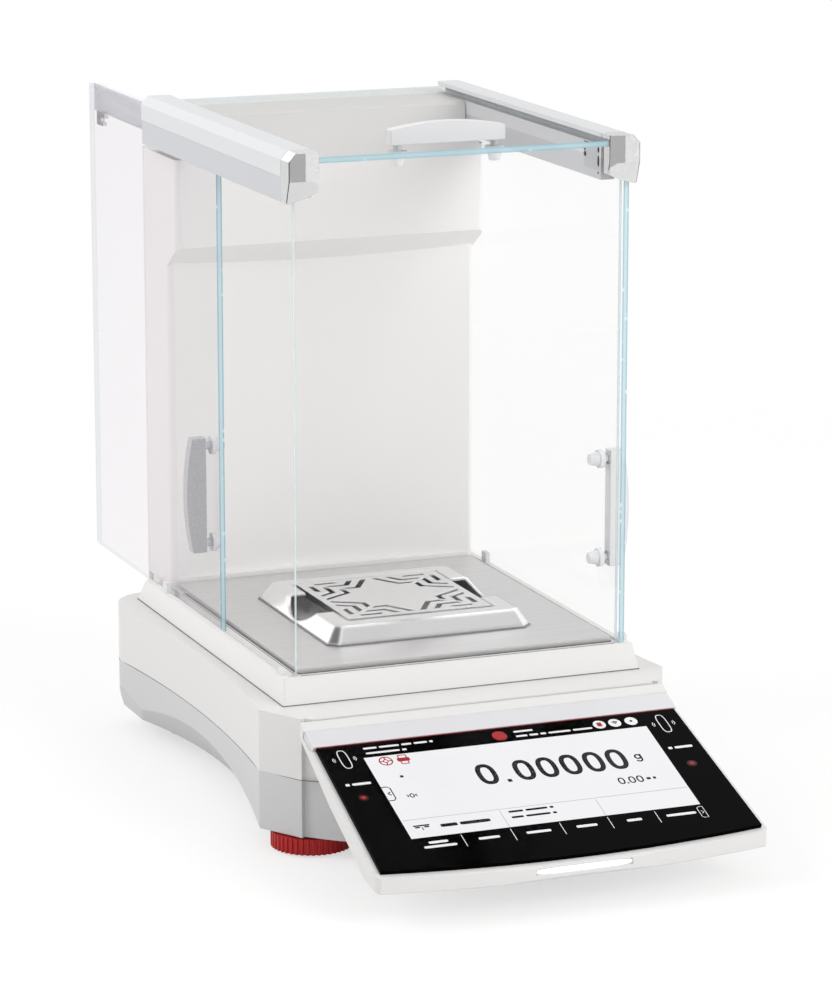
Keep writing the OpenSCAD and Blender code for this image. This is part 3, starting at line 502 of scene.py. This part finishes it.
class BALANCE_OT_rails(bpy.types.Operator):
    """Painted rails, metallic caps, door strips and handles"""

    bl_idname = "balance.rails"
    bl_label = "Rails and handles"

    def execute(self, context):
        c = colours()
        # Extruded aluminium under satin paint: even, with the faintest orange peel; greyer under the step, a painted
        # shade of the lower facet
        dress(shade("painted_extrusion", c.rail, 0.36, corner=0.4, grain=(0.7, 0.01), shaded_below=(RAIL_STEP, "#cbccd0")),
              "rail_left", "rail_right")
        # Zinc casting under metallic lacquer: small flakes sparkle in an even grey
        dress(shade("metallic_lacquer", c.cap, 0.26, metallic=0.8, corner=0.25, specks=(0.5, "#ffffff", 0.3)),
              "rail_cap_left", "rail_cap_right")
        # Extruded strip, anodised and glued to the glass: cool and even, with fine lines; its colour is painted
        # lighter, standing in for light it gets too little
        dress(shade("satin_anodised_strip", c.carrier, 0.36, corner=0.25, lines=("y", 0.9, 0.003)),
              "left_door_carrier", "right_door_carrier")
        # Moulded handles with silver lacquer: satin, with tiny flakes; the open door's handle is painted a darker
        # silver, a painted shade of the same handle
        for name, colour, flake, parts in (
            ("silver_lacquer_moulding", c.handle, "#f0f0f2", ("right_handle", "top_handle")),
            ("shaded_silver_lacquer_moulding", "#bebec1", "#d8d8da", ("left_handle",)),
        ):
            dress(shade(name, colour, 0.34, metallic=0.3, corner=0.5, specks=(0.5, flake, 0.3)), *parts)
        # The band between the display glass and the terminal's rear edge is lacquered a cool pale grey
        dress(shade("pale_lacquer_band", "#dbdbde", 0.35, corner=0.3, grain=(0.8, 0.03)), "terminal_bezel")
        return {"FINISHED"}


class BALANCE_OT_glass(bpy.types.Operator):
    """Panes of the draft shield and the clear buttons that hold the handles"""

    bl_idname = "balance.glass"
    bl_label = "Glass"

    def execute(self, context):
        # The faces are clear with a breath of the studio in them, and only the cut edges show the glass's own green
        for side, pane, across, core, rim, lit, mirror, tint in (
            ("left", "left_door_glass", "x", "#c9e1e8", "#86b9c8", "-y", 0.4, "#fbfafb"),
            ("right", "right_door_glass", "x", "#c9e1e8", "#86b9c8", "-y", 0.4, "#fefefe"),
            ("front", "front_glass", "y", "#eef5f7", "#c3dbe3", "=x", 0.4, "#ffffff"),
            ("top", "top_door_glass", "z", "#b9d8e1", "#9cc7d3", "-y", 0.06, "#f6f6f6"),
        ):
            dress(float_glass("float_glass_" + side, pane, across, core, rim, lit, mirror, tint), pane)
        # Clear acrylic buttons gather the light of the room: seen whole they are milky, with bright turned rims
        dress(clear_moulding("clear_acrylic", "#f1f3f4", 0.85),
              "left_handle_studs", "right_handle_studs", "top_handle_studs", "door_guides")
        return {"FINISHED"}


class BALANCE_OT_steel(bpy.types.Operator):
    """Floor plate, wind ring and pan"""

    bl_idname = "balance.steel"
    bl_label = "Steel of the chamber"

    def execute(self, context):
        c = colours()
        # Cold-rolled stainless sheet, belt-brushed from side to side: long fine streaks and a stretched sheen
        dress(shade("brushed_stainless", c.steel, 0.3, metallic=0.85, corner=0.4, lines=("x", 0.5, 0.02)),
              "floor_plate", "column_screws", "base_screws")
        # Deep-drawn stainless, electropolished: bright and smooth with a slight ripple
        dress(shade("electropolished_stainless", "#ededee", 0.15, metallic=0.95, corner=0.8, grain=(6.0, 0.02),
                    rough_swing=0.04),
              "pan", "pan_spigot", "foot_stud_left", "foot_stud_right", "data_ports", "left_door_catch",
              "right_door_catch")
        # The ring is spun and drawn over a former: its bends are round, so bright and dark bands run along them
        dress(shade("drawn_stainless", "#f4f3f3", 0.12, metallic=1.0, corner=3.0, grain=(8.0, 0.03), rough_swing=0.03),
              "wind_ring")
        return {"FINISHED"}


class BALANCE_OT_workings(bpy.types.Operator):
    """Weighing system, boards, sockets and feet"""

    bl_idname = "balance.workings"
    bl_label = "Workings and feet"

    def execute(self, context):
        # Aluminium milled on a bed: parallel tool marks
        dress(shade("milled_aluminium", "#c3c5c8", 0.32, metallic=1.0, corner=0.4, lines=("x", 1.5, 0.03)),
              "chassis", "weigh_cell", "load_arm", "spigot_seal", "pan_hub")
        # Bar turned on a lathe: yellow, with close rings that draw the highlight into lines
        dress(shade("turned_brass", "#c9a45a", 0.28, metallic=1.0, corner=0.3, lines=("y", 0.8, 0.02)), "cal_weight")
        # Glass-filled nylon: dark and dull with a fine grain
        dress(shade("moulded_nylon_dark", "#26282b", 0.5, corner=0.4, grain=(0.8, 0.05)),
              "magnet_pot", "cal_lifter", "cal_motor", "connector_panel", "power_inlet", "hook_cover", "display_panel")
        # Solder mask over copper: glossy green with a fine pattern of tracks
        dress(shade("solder_mask_green", "#1d5a35", 0.3, corner=0.2, specks=(1.6, "#3f8a58", 0.4)),
              "main_board", "terminal_board")
        # Rubber from a blasted mould: nearly black, with no highlight to speak of
        dress(shade("moulded_rubber", "#1b1b1c", 0.7, corner=0.5, grain=(0.7, 0.08)),
              "rear_feet", "foot_pad_left", "foot_pad_right")
        # Coloured all through and moulded: soft sheen, with a stronger slow drift of tone
        dress(shade("moulded_red_abs", colours().wheel, 0.38, corner=0.35, grain=(0.8, 0.06), tone=0.08),
              "wheel_left", "wheel_right", "ir_sensors")
        return {"FINISHED"}


# Display

# Places on the display are x to the right and level depth y, in mm, with the display's rear edge at this y
DISPLAY_REAR = 29.4
DISPLAY_GLASS = 2 * MM
# Depths of the rows of marks: behind the screen, in front of it, and the menu icons in its upper left corner
REAR_ROW, FRONT_ROW, ICON_ROW = 22.9, -52, 13.3
SCREEN_REAR, SCREEN_FRONT, SCREEN_HALF = 17.6, -46.4, 76.5
WORD_GAP = 1.3


def display_plane(lift=0.0):
    """Origin and directions of the display: u to the right, v up the slope, w out of the glass, one unit a millimetre;
    the origin is lifted off the glass by so many millimetres."""
    tilt = sizes().tilt
    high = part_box("display_glass")[1]
    out = (0, -math.sin(tilt) * MM, math.cos(tilt) * MM)
    edge = np.array([0.0, high.y - DISPLAY_GLASS * math.sin(tilt), high.z])
    return edge + np.array(out) * lift, (MM, 0, 0), (0, math.cos(tilt) * MM, math.sin(tilt) * MM), out


def at(x, y):
    """Point on the display's plane, in mm, for a place given by x and level depth."""
    return np.array([x, (y - DISPLAY_REAR) / math.cos(sizes().tilt)])


def words(shape, left, right, y, height, film, pattern, lift=0.0):
    """A line of plain bars where a line of small print would be; pattern holds their shares of the length."""
    free = right - left - WORD_GAP * (len(pattern) - 1)
    start = left
    for share in pattern:
        wide = free * share / sum(pattern)
        shape.pad(superellipse(20, wide / 2, height / 2, 7), at(start + wide / 2, y) + (0, lift), film)
        start += wide + WORD_GAP


def draw_figures(film):
    """Dark figures, unit, small print and signs on the lit screen."""
    s = sizes()
    shape = Shape()
    stroke = s.stroke / MM
    zero = superellipse(48, s.figure_width / MM / 2 - stroke / 2, s.figure_height / MM / 2 - stroke / 2, 2.5)
    for x in (-20.3, -0.4, 12.1, 24.7, 37.3, 49.7):
        shape.line(zero, stroke, film, at(x, -5.35), closed=True)
    shape.pad(superellipse(16, 1.15, 1.2, 8), at(-10.7, -12.0), film)
    small = superellipse(28, 1.4, 2.3, 2.4)
    for x in (44.9, 50.6, 54.9):
        shape.line(small, 0.85, film, at(x, -22.2), closed=True)
    shape.pad(circle(0.6, 10), at(47.7, -22.2) - (0, 2.2), film)
    # Unit: a small g, and two bars for the one below
    shape.line(circle(1.6, 20) * (0.9, 1.0), 0.95, film, at(61.3, -5.2), closed=True)
    stem = at(62.9, -5.2) + np.array([[0, 1.9], [0, -2.2]])
    shape.line(np.concatenate([stem, arc(1.6, -10, -165) * (0.95, 0.9) + (at(61.35, -5.2) - (0, 2.4))]), 0.95, film)
    words(shape, 58.3, 63.4, -22.6, 1.9, film, (1.4, 1))
    words(shape, -58.6, -32.6, -39.3, 2.5, film, (5, 9))
    words(shape, -21.4, 2.4, -35.3, 1.6, film, (4, 6, 1))
    words(shape, -21.4, 2.4, -39.6, 1.6, film, (3.2, 6.6, 1))
    # Sign that the reading is stable, and the centre-of-zero sign
    shape.pad(circle(1.0, 12), at(-63.1, 0.4), film)
    centre = at(-63.6, -14.7)
    shape.line(circle(1.45, 18) * (0.7, 1), 0.6, film, centre, closed=True)
    for side in (-1, 1):
        shape.line([[side * 2.6, 0.9], [side * 1.7, 0], [side * 2.6, -0.9]], 0.6, film, centre)
    # Small weighing sign at the front left
    shape.line([[-4.2, 0.9], [4.2, 0.9]], 1.0, film, at(-68, -38.4))
    for left in (-3.6, 1.2):
        shape.line([[left, -0.2], [left + 2.4, -0.2]], 1.0, film, at(-68, -38.6))
    # Tab at the left edge of the screen
    tab = [[-4.1, 5.6], [-1.2, 5.6], [0, 4.2], [0, -4.2], [-1.2, -5.6], [-4.1, -5.6]]
    shape.line(tab, 0.6, film, at(-72.4, -11.5))
    shape.line([[0.7, 1.3], [-0.7, 0], [0.7, -1.3]], 0.75, film, at(-74.2, -11.5))
    # Signs inside two of the white buttons: rising arcs and a dot
    for reach in (0.6, 1.5, 2.4):
        shape.line(arc(reach, 50, 130), 0.5, film * 1.6, at(61.4, REAR_ROW) - (0, 1.3))
    shape.pad(circle(0.8, 12), at(70.4, REAR_ROW), film * 2)
    return shape


def draw_red_marks(film):
    """Red marks: two buttons behind the screen, the two menu icons, the rear rule and the bar of the weighing sign."""
    shape = Shape()
    # Marks that lie on another mark stand higher
    raised = film * 2.4
    shape.pad(circle(3.9), at(-1.7, REAR_ROW), film)
    shape.pad(superellipse(20, 1.5, 1.9, 5), at(52.9, REAR_ROW), raised)
    # A wheel with four spokes
    wheel = at(-66.4, ICON_ROW)
    shape.line(circle(3.3, 28), 0.7, raised, wheel, closed=True)
    shape.line(circle(1.2, 16), 0.6, raised, wheel, closed=True)
    for t in np.radians((0, 90, 180, 270)):
        way = np.array([math.cos(t), math.sin(t)])
        shape.line([1.6 * way, 3.2 * way], 0.7, raised, wheel)
    # A block with a sheet above and below
    sheets = at(-57.1, ICON_ROW)
    shape.pad(superellipse(24, 3.5, 1.6, 6), sheets - (0, 0.1), raised)
    shape.line(superellipse(20, 2.1, 1.2, 8), 0.6, raised, sheets + (0, 2.3), closed=True)
    shape.line(superellipse(20, 1.9, 1.3, 8), 0.6, raised, sheets - (0, 2.4), closed=True)
    shape.line([[-97.2, 0], [0, 0], [97.2, 0]], 0.4, film, (0, -0.4))
    shape.line([[0, -0.3], [0, -2.6]], 0.6, raised, at(-68, -38.6))
    return shape


def draw_white_print(film):
    """White print on the black glass: buttons, lines of small print, separators, and the signs of both sensors."""
    shape = Shape()
    for x in (52.9, 61.4, 70.4):
        shape.pad(circle(3.4, 28), at(x, REAR_ROW), film)
    words(shape, -74, -37, 24.7, 1.5, film, (4, 6, 3, 4, 1))
    words(shape, -74, -52.5, 20.8, 1.5, film, (8, 1))
    words(shape, 6.5, 17, 24.7, 1.5, film, (1,))
    words(shape, 6.5, 48.2, 21.0, 1.5, film, (4, 3, 2, 8, 7))
    for x in (-51.4, -25.6, 0.3, 25.7, 51):
        shape.line([at(x, -47.6), at(x, -56.4)], 0.35, film)
    for x, wide, lift in ((-64.3, 10, 1.5), (-64.3, 17, -1.8), (-38.4, 11, 0), (-12.4, 13, 0), (13, 11, 0),
                          (38.4, 8, 0), (63.6, 16, 0)):
        words(shape, x - wide / 2, x + wide / 2, FRONT_ROW, 1.9, film, (wide,), lift)
    tab = [[3.2, 4.4], [1.0, 4.4], [0, 3.4], [0, -3.4], [1.0, -4.4], [3.2, -4.4], [3.2, 4.4]]
    shape.line(tab, 0.35, film, at(73.3, -52.3))
    shape.line([[-0.6, 1.1], [0.6, 0], [-0.6, -1.1]], 0.4, film, at(75.1, -52.3))
    # Over each sensor an upright hand shape between waves, and under it a word
    for side in (-1, 1):
        hand = at(side * 86.3, 18.1)
        shape.line(superellipse(40, 2.35, 7.4, 3.2), 0.5, film, hand, closed=True)
        for k in (-1, 1):
            for reach in (1.0, 2.0):
                shape.line(arc(reach, -55, 55) * (k, 1), 0.38, film, hand + (k * 4.1, 0))
        words(shape, side * 86.6 - 6.6, side * 86.6 + 6.6, -1.5, 1.9, film, (1.3, 6))
    return shape


class BALANCE_OT_screen(bpy.types.Operator):
    """Display glass with its lit screen, and the marks on both"""

    bl_idname = "balance.screen"
    bl_label = "Screen"

    def execute(self, context):
        c, film = colours(), sizes().film / MM
        # Cover glass printed black behind, with an anti-reflection coat: deep black with only a faint sheen
        dress(shade("coated_black_glass", c.black, 0.09, corner=0.3, rough_swing=0.02, specular=0.012),
              "display_glass")
        # Liquid crystal panel lit from behind: the white is even, and ink, rules and red let less light by
        paper = glowing("lit_screen_white", c.paper, 0.96)
        ink = glowing("screen_ink", c.ink, 0.1, body="#050506")
        grey = glowing("screen_grey_rule", "#b9bbc0", 0.9)
        red = glowing("screen_red", c.red_mark, 0.85)
        # Screen print on the back of the glass: flat white with crisp edges
        white = shade("white_screen_print", c.print_white, 0.3, corner=None, grain=(0.5, 0.01))

        lit = Shape()
        rear, front = at(0, SCREEN_REAR), at(0, SCREEN_FRONT)
        half = (rear - front)[1] / 2
        turns = np.array([[1, -1], [1, 0], [1, 1], [0, 1], [-1, 1], [-1, 0], [-1, -1], [0, -1]])
        lit.pad(turns * (SCREEN_HALF, half), (rear + front) / 2, film)

        rules = Shape()
        rules.line([[-75.7, 0], [0, 0], [76, 0]], 0.3, film, at(0, -32.6))
        for x in (-25.4, 25.7):
            rules.line([at(x, -33.6), at(x, -46.2)], 0.3, film)

        glass, screen = display_plane(), display_plane(film * 1.3)
        for name, shape, place, material in (
            ("screen_panel", lit, glass, paper),
            ("screen_figures", draw_figures(film), screen, ink),
            ("screen_rules", rules, screen, grey),
            ("red_marks", draw_red_marks(film), glass, red),
            ("white_print", draw_white_print(film), glass, white),
        ):
            shape.finish(name, place, "terminal", "black_gloss", material)

        # Each sensor window of dyed acrylic is three discs, each smaller and brighter than the one
        # under it: a painted glow, as no visible light comes from the sensor
        for name, reach, glow, lift in (("outer", 2.7, "#360507", 1.0), ("middle", 1.9, "#7a1216", 1.6),
                                        ("inner", 1.1, "#c42a30", 2.2)):
            window = Shape()
            for x, y in ((-87.9, -12.1), (86.7, -15)):
                window.pad(circle(reach, 28) * (1, 0.9), at(x, y), film * lift)
            window.finish("sensor_window_" + name, glass, "terminal", "red_plastic",
                          glowing("red_acrylic_window_painted_glow_" + name, glow, 0.9, patch_mm=3.0, body="#1a0304"))
        return {"FINISHED"}


# Fittings and seams


class BALANCE_OT_fittings(bpy.types.Operator):
    """Light strip of the terminal, latches and screws of the rails"""

    bl_idname = "balance.fittings"
    bl_label = "Small fittings"

    def execute(self, context):
        # The lens of the lit strip bulges out of the front lip
        low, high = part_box("light_bar")
        middle, half, bulge = (low + high) / 2, (high - low) / MM / 2, 0.9
        strip = Shape()
        strip.pad(superellipse(72, half.x, half.z, 5), (0, 0), bulge)
        place = ((middle.x, low.y + bulge * MM, middle.z), (MM, 0, 0), (0, 0, MM), (0, -MM, 0))
        # Milky polycarbonate with lamps behind it: an even cool white
        lens = strip.finish("light_strip_lens", place, "terminal", "clear_plastic",
                            glowing("lit_strip_white", "#f3f1fa", 0.95, body="#d8d8dc"), smooth=True)
        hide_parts("light_bar")

        # Zinc stamped and plated: pale and satin; the slots and screws in it are blackened steel, dark and dull
        plate = shade("stamped_zinc", "#c9ccd0", 0.34, metallic=0.8, corner=None, grain=(1.2, 0.02))
        dark = shade("blackened_steel", "#2a2b2e", 0.4, metallic=0.6, corner=None, grain=(0.6, 0.03))
        for side, name in ((1, "right"), (-1, "left")):
            low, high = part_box("rail_" + name)
            # On the rail's inner face, a hair off it: u runs back along the rail and v up
            face = (low if side > 0 else high).x - side * 0.02 * MM
            place = ((face, low.y, low.z), (0, MM, 0), (0, 0, MM), (-side * MM, 0, 0))
            latch = Shape()
            latch.pad(superellipse(40, 9.5, 6.2, 14), (11.5, 12.0), 0.12)
            latch.finish("latch_plate_" + name, place, "base", "steel", plate)
            slots = Shape()
            slots.line([[2.6, 18.6], [12, 18.6], [21, 18.6]], 0.5, 0.2)
            for outline, centre, height in (
                (superellipse(20, 0.9, 1.5, 4), (3.2, 16.4), 0.3),
                (superellipse(20, 0.9, 2.9, 4), (3.2, 10.6), 0.3),
                (circle(0.7, 14), (3.2, 4.6), 0.3),
                (circle(1.5, 20), (19.5, 12.4), 0.5),
                (circle(1.0, 20), (19.9, 15.0), 0.4),
            ):
                slots.pad(outline, centre, height)
            slots.finish("latch_slots_" + name, place, "base", "dark_plastic", dark)
        return {"FINISHED"}


# Millimetres along the world's own axes
WORLD = ((0, 0, 0), (MM, 0, 0), (0, MM, 0), (0, 0, MM))


def edge_line(name, node, level, inset, lift, radius, body, slot, material, within=math.inf):
    """A thin closed thread round a built part, along its outline at one level, kept within so many mm of the middle
    plane; all sizes in mm."""
    path = outline_at(node, level, inset)
    path[:, 0] = np.clip(path[:, 0], -within, within)
    shape = Shape()
    shape.thread(np.column_stack([path, np.full(len(path), level + lift)]), radius, closed=True)
    shape.finish(name, WORLD, body, slot, material)


class BALANCE_OT_seams(bpy.types.Operator):
    """Parting lines and grooves between the built parts"""

    bl_idname = "balance.seams"
    bl_label = "Seams"

    def execute(self, context):
        # A gap between two mouldings shows as a soft dark line, because little light comes back out of it
        gap = shade("shadow_gap", "#77777a", 0.7, corner=None, grain=(0.8, 0.02))
        groove = shade("track_groove", "#5c5d60", 0.6, corner=None, grain=(0.8, 0.02))

        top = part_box("lower_housing")[1] / MM
        edge_line("housing_parting_line", "lower_housing", top.z, 0.15, 0, 0.27, "base", "shell_grey", gap,
                  within=top.x - 0.3)
        low, high = box_mm("deck")
        edge_line("deck_foot_line", "deck", low.z, 0.0, 0.2, 0.3, "base", "shell_grey", gap)

        # Two tracks for the left door and one for the right, each a little outside the floor plate, and two lines
        # across the front
        tracks = Shape()
        plate_low, plate_high = box_mm("floor_plate")
        front, rear, edge, top = plate_low.y, plate_high.y - 14, plate_high.x, high.z
        for x, radius in ((-edge - 0.5, 0.3), (-edge - 1.9, 0.2), (edge + 0.5, 0.3)):
            tracks.thread([[x, front, top], [x, 0, top], [x, rear, top]], radius)
        for y, radius in ((front - 0.4, 0.22), (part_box("front_glass")[0].y / MM - 0.5, 0.2)):
            tracks.thread([[-edge, y, top], [0, y, top], [edge, y, top]], radius)
        tracks.finish("door_track_grooves", WORLD, "base", "dark_plastic", groove)

        # The ring stands on the floor plate with a rolled foot, whose underside is in shadow
        under = shade("shadowed_steel", "#8d8d8f", 0.4, metallic=0.5, corner=None, grain=(1.5, 0.02))
        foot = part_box("wind_ring")[0].z / MM
        edge_line("ring_foot_line", "wind_ring", foot, 0.0, 0.25, 0.35, "ring", "polished_steel", under)

        # The caps' front plates stand a hair off their sides
        for name, side in (("left", -1), ("right", 1)):
            low, high = box_mm("rail_cap_" + name)
            outer, inner = (low.x, high.x) if side < 0 else (high.x, low.x)
            nose, foot, top = low.y, low.z, high.z
            caps = Shape()
            caps.thread([[outer, nose + 4.9, foot + 0.8], [outer, nose + 1.1, foot + 11.5],
                         [outer, nose + 1.0, top - 4.3], [outer - side * 3.9, nose + 1.0, top]], 0.25)
            caps.thread([[inner, nose + 3.6, foot + 8], [inner, nose + 2.2, foot + 12], [inner, nose + 2.2, top]], 0.25)
            caps.finish("cap_gap_" + name, WORLD, "base", "dark_plastic", groove)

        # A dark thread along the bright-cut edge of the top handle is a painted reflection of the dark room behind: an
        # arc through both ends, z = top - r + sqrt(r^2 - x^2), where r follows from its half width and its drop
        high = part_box("top_handle")[1] / MM
        half, drop = high.x - 0.3, 3.2
        radius = (half * half + drop * drop) / (2 * drop)
        x = np.linspace(-half, half, 25)
        handle = Shape()
        crest = high.z - 0.25 - radius + np.sqrt(radius**2 - x**2)
        handle.thread(np.column_stack([x, np.full(25, high.y - 0.1), crest]), 0.22)
        handle.finish("top_handle_edge_painted_reflection", WORLD, "top_door", "handle_satin", groove)
        return {"FINISHED"}


# Studio

# Floor: so many rings, from the inner to the outer one, each of so many points
FLOOR_RINGS, FLOOR_POINTS, FLOOR_REACH = 24, 96, (0.05, 6.0)
LAMP_SIZE = 1.5
LAMP_AIM = Vector((0, 0.02, 0.15))
# Place, direction and lens were fitted to the picture, so that the outlines fall where they do there
CAMERA_PLACE = (-0.784, -1.99145, 0.6459)
CAMERA_VIEW = Vector((0.3606, 0.9051, -0.2255))
LENS, SENSOR = 150.6, 36.0
# What metal mirrors, as patches of light: direction, cosines where a patch starts and where it is full, strength
MIRRORED = (
    ((0.0, 0.0, 1.0), -2.0, -1.9, 1.02),  # even room
    ((0.55, 0.35, 0.76), 0.8, 0.99, 0.75),  # soft box over the right
    ((-0.6, -0.1, 0.8), 0.86, 0.985, -0.85),  # dark card over the left, for the ring's corners
    ((0.36, -0.85, 0.4), 0.8, 0.98, -0.45),  # dark card over the camera
    ((-0.9, -0.3, -0.1), 0.55, 0.95, -0.5),  # dark card low on the left
    ((-0.2, 0.95, 0.2), 0.6, 0.95, 0.5),  # soft box behind
    ((0.36, 0.905, 0.23), 0.9, 0.99, -0.6),  # dark card behind, for the floor plate
)
# The room is dimmer behind the camera to the left, which shades the corner facets of the base
DIM_SIDE = (-0.6, -0.79, 0.12)


def studio_floor():
    """Flat floor. Point (r, t) = (r cos t, r sin t, 0)."""
    r = np.linspace(*FLOOR_REACH, FLOOR_RINGS)[:, None]
    t = np.linspace(0, 2 * np.pi, FLOOR_POINTS, endpoint=False)[None]
    points = np.stack([r * np.cos(t), r * np.sin(t), np.zeros_like(r * t)], 2)
    rows = np.arange(FLOOR_RINGS * FLOOR_POINTS).reshape(FLOOR_RINGS, FLOOR_POINTS)
    quads = np.stack([rows[:-1], rows[1:], np.roll(rows[1:], -1, 1), np.roll(rows[:-1], -1, 1)], 2).reshape(-1, 4)
    mesh = bpy.data.meshes.new("floor")
    mesh.from_pydata(points.reshape(-1, 3).tolist(), [], quads.tolist() + [rows[0].tolist()])
    mesh.update()
    mesh.materials.append(floor_paper())
    return bpy.data.objects.new("floor", mesh)


def floor_paper():
    """Seamless paper sweep: pale, even and matt, with the faintest fibre; it goes to plain white far out."""
    material, tree, place = new_material("seamless_paper")
    fibre = add_node(tree, "TexNoise", {"Scale": 300.0, "Detail": 3.0, "Vector": place})
    base = add_node(tree, "Mix", {6: linear("#efefee"), 7: linear("#f3f2f2"), "Factor": fibre}, data_type="RGBA")
    matt = add_node(tree, "BsdfDiffuse", {"Color": base})
    seen = only_seen(tree, "Is Camera Ray", "Is Transmission Ray")
    # To the eye the paper is lifted more than halfway to white, so that it keeps a pale shadow
    lift = add_node(tree, "Math", {0: seen, 1: 0.55}, operation="MULTIPLY")
    glow = add_node(tree, "Emission", {"Color": WHITE, "Strength": 1.12})
    near = add_node(tree, "MixShader", {0: lift, 1: matt, 2: glow})
    plain = add_node(tree, "Emission", {"Color": WHITE, "Strength": 1.0})
    far = add_node(tree, "MixShader", {0: seen, 1: matt, 2: plain})
    reach = add_node(tree, "VectorMath", {0: place}, operation="LENGTH")
    away = add_node(tree, "MapRange", {"From Min": 0.35, "From Max": 1.3, "Value": reach}, **SMOOTH)
    sweep = add_node(tree, "MixShader", {0: away, 1: near, 2: far})
    # In front to the left, out of the picture, the floor turns dark to glossy rays only, a painted reflection of a dark
    # card
    # that polished faces mirror: it covers the points where x + 0.34 y < 0 and y < -0.5
    part = add_node(tree, "SeparateXYZ", {"Vector": place}).outputs
    slant = add_node(tree, "Math", {1: 0.34, 0: part["Y"], 2: part["X"]}, operation="MULTIPLY_ADD")
    sector = add_node(
        tree, "MapRange", {"From Min": 0.12, "From Max": -0.12, "To Max": 0.85, "Value": slant}, **SMOOTH
    )
    before = add_node(tree, "MapRange", {"From Min": -0.4, "From Max": -0.6, "Value": part["Y"]}, **SMOOTH)
    painted_reflection_mask = add_node(tree, "Math", {0: sector, 1: before}, operation="MULTIPLY")
    glossy = only_seen(tree, "Is Glossy Ray")
    shown = add_node(tree, "Math", {0: painted_reflection_mask, 1: glossy}, operation="MULTIPLY")
    dark = add_node(tree, "Emission", {"Color": WHITE, "Strength": 0.16})
    mix = add_node(tree, "MixShader", {0: shown, 1: sweep, 2: dark})
    add_node(tree, "OutputMaterial", {"Surface": mix})
    return material


def studio_room(sky):
    """Light from all round: the camera sees plain white past the floor, metal mirrors a studio of soft boxes and dark
    cards, and all other rays meet an even light."""
    world = bpy.data.worlds.new("white_room")
    world.use_nodes = True
    tree = world.node_tree
    tree.nodes.clear()
    look = add_node(tree, "TexCoord").outputs["Generated"]
    total = None
    for where, start, full, strength in MIRRORED:
        unit = tuple(c / math.hypot(*where) for c in where)
        dot = add_node(tree, "VectorMath", {0: look, 1: unit}, operation="DOT_PRODUCT")
        patch = add_node(
            tree, "MapRange", {"From Min": start, "From Max": full, "To Max": strength, "Value": dot}, **SMOOTH
        )
        total = add_node(tree, "Math", {0: total, 1: patch}, operation="ADD") if total else patch
    mirrored = add_node(tree, "Background", {"Color": WHITE, "Strength": total})
    dot = add_node(tree, "VectorMath", {0: look, 1: DIM_SIDE}, operation="DOT_PRODUCT")
    room = add_node(
        tree, "MapRange", {"From Min": 0.3, "From Max": 0.9, "To Min": sky, "To Max": sky * 0.6, "Value": dot}, **SMOOTH
    )
    even = add_node(tree, "Background", {"Color": WHITE, "Strength": room})
    white = add_node(tree, "Background", {"Color": WHITE, "Strength": 1.0})
    glossy = only_seen(tree, "Is Glossy Ray")
    unseen = add_node(tree, "MixShader", {0: glossy, 1: even, 2: mirrored})
    seen = only_seen(tree, "Is Camera Ray", "Is Transmission Ray")
    mix = add_node(tree, "MixShader", {0: seen, 1: unseen, 2: white})
    add_node(tree, "OutputWorld", {"Surface": mix})
    return world


class BALANCE_OT_stage(bpy.types.Operator):
    """Floor, soft lamps, room light and camera"""

    bl_idname = "balance.stage"
    bl_label = "Studio"

    def execute(self, context):
        s, scene = sizes(), context.scene
        floor = studio_floor()
        scene.collection.objects.link(floor)
        for name, where, power in (
            ("right_lamp", (1.1, -1.9, 1.3), s.key_light),
            ("left_lamp", (-1.8, 0.6, 1.5), s.key_light * 0.8),
        ):
            light = bpy.data.lights.new(name, "AREA")
            light.shape, light.size, light.energy = "DISK", LAMP_SIZE, power
            lamp = bpy.data.objects.new(name, light)
            lamp.location = where
            lamp.visible_glossy = False
            lamp.rotation_euler = (LAMP_AIM - Vector(where)).to_track_quat("-Z", "Y").to_euler()
            scene.collection.objects.link(lamp)
        scene.world = studio_room(s.sky)
        scene.view_settings.view_transform = "Standard"
        lens = bpy.data.cameras.new("camera")
        lens.lens, lens.sensor_width, lens.clip_start = LENS, SENSOR, 0.05
        scene.camera = bpy.data.objects.new("camera", lens)
        scene.camera.location = CAMERA_PLACE
        scene.camera.rotation_euler = CAMERA_VIEW.to_track_quat("-Z", "Y").to_euler()
        scene.collection.objects.link(scene.camera)
        return {"FINISHED"}


# Panel and start


class BALANCE_PT_panel(bpy.types.Panel):
    """Buttons for the steps that dress the balance, and its colours and sizes"""

    bl_idname = "BALANCE_PT_panel"
    bl_label = "Balance"
    bl_space_type = "VIEW_3D"
    bl_region_type = "UI"
    bl_category = "Balance"

    def draw(self, context):
        for step in STEPS:
            self.layout.operator(step.bl_idname)
        for group in (context.scene.balance_colours, context.scene.balance_sizes):
            box = self.layout.box()
            for key in group.__annotations__:
                box.prop(group, key)


STEPS = (
    BALANCE_OT_mouldings,
    BALANCE_OT_rails,
    BALANCE_OT_glass,
    BALANCE_OT_steel,
    BALANCE_OT_workings,
    BALANCE_OT_screen,
    BALANCE_OT_fittings,
    BALANCE_OT_seams,
    BALANCE_OT_stage,
)
CLASSES = (BalanceColours, BalanceSizes, *STEPS, BALANCE_PT_panel)


def register():
    for item in CLASSES:
        bpy.utils.register_class(item)
    bpy.types.Scene.balance_colours = bpy.props.PointerProperty(type=BalanceColours)
    bpy.types.Scene.balance_sizes = bpy.props.PointerProperty(type=BalanceSizes)


def unregister():
    del bpy.types.Scene.balance_sizes
    del bpy.types.Scene.balance_colours
    for item in reversed(CLASSES):
        bpy.utils.unregister_class(item)


def main():
    register()
    for step in STEPS:
        group, name = step.bl_idname.split(".")
        getattr(getattr(bpy.ops, group), name)()


if __name__ == "__main__":
    main()
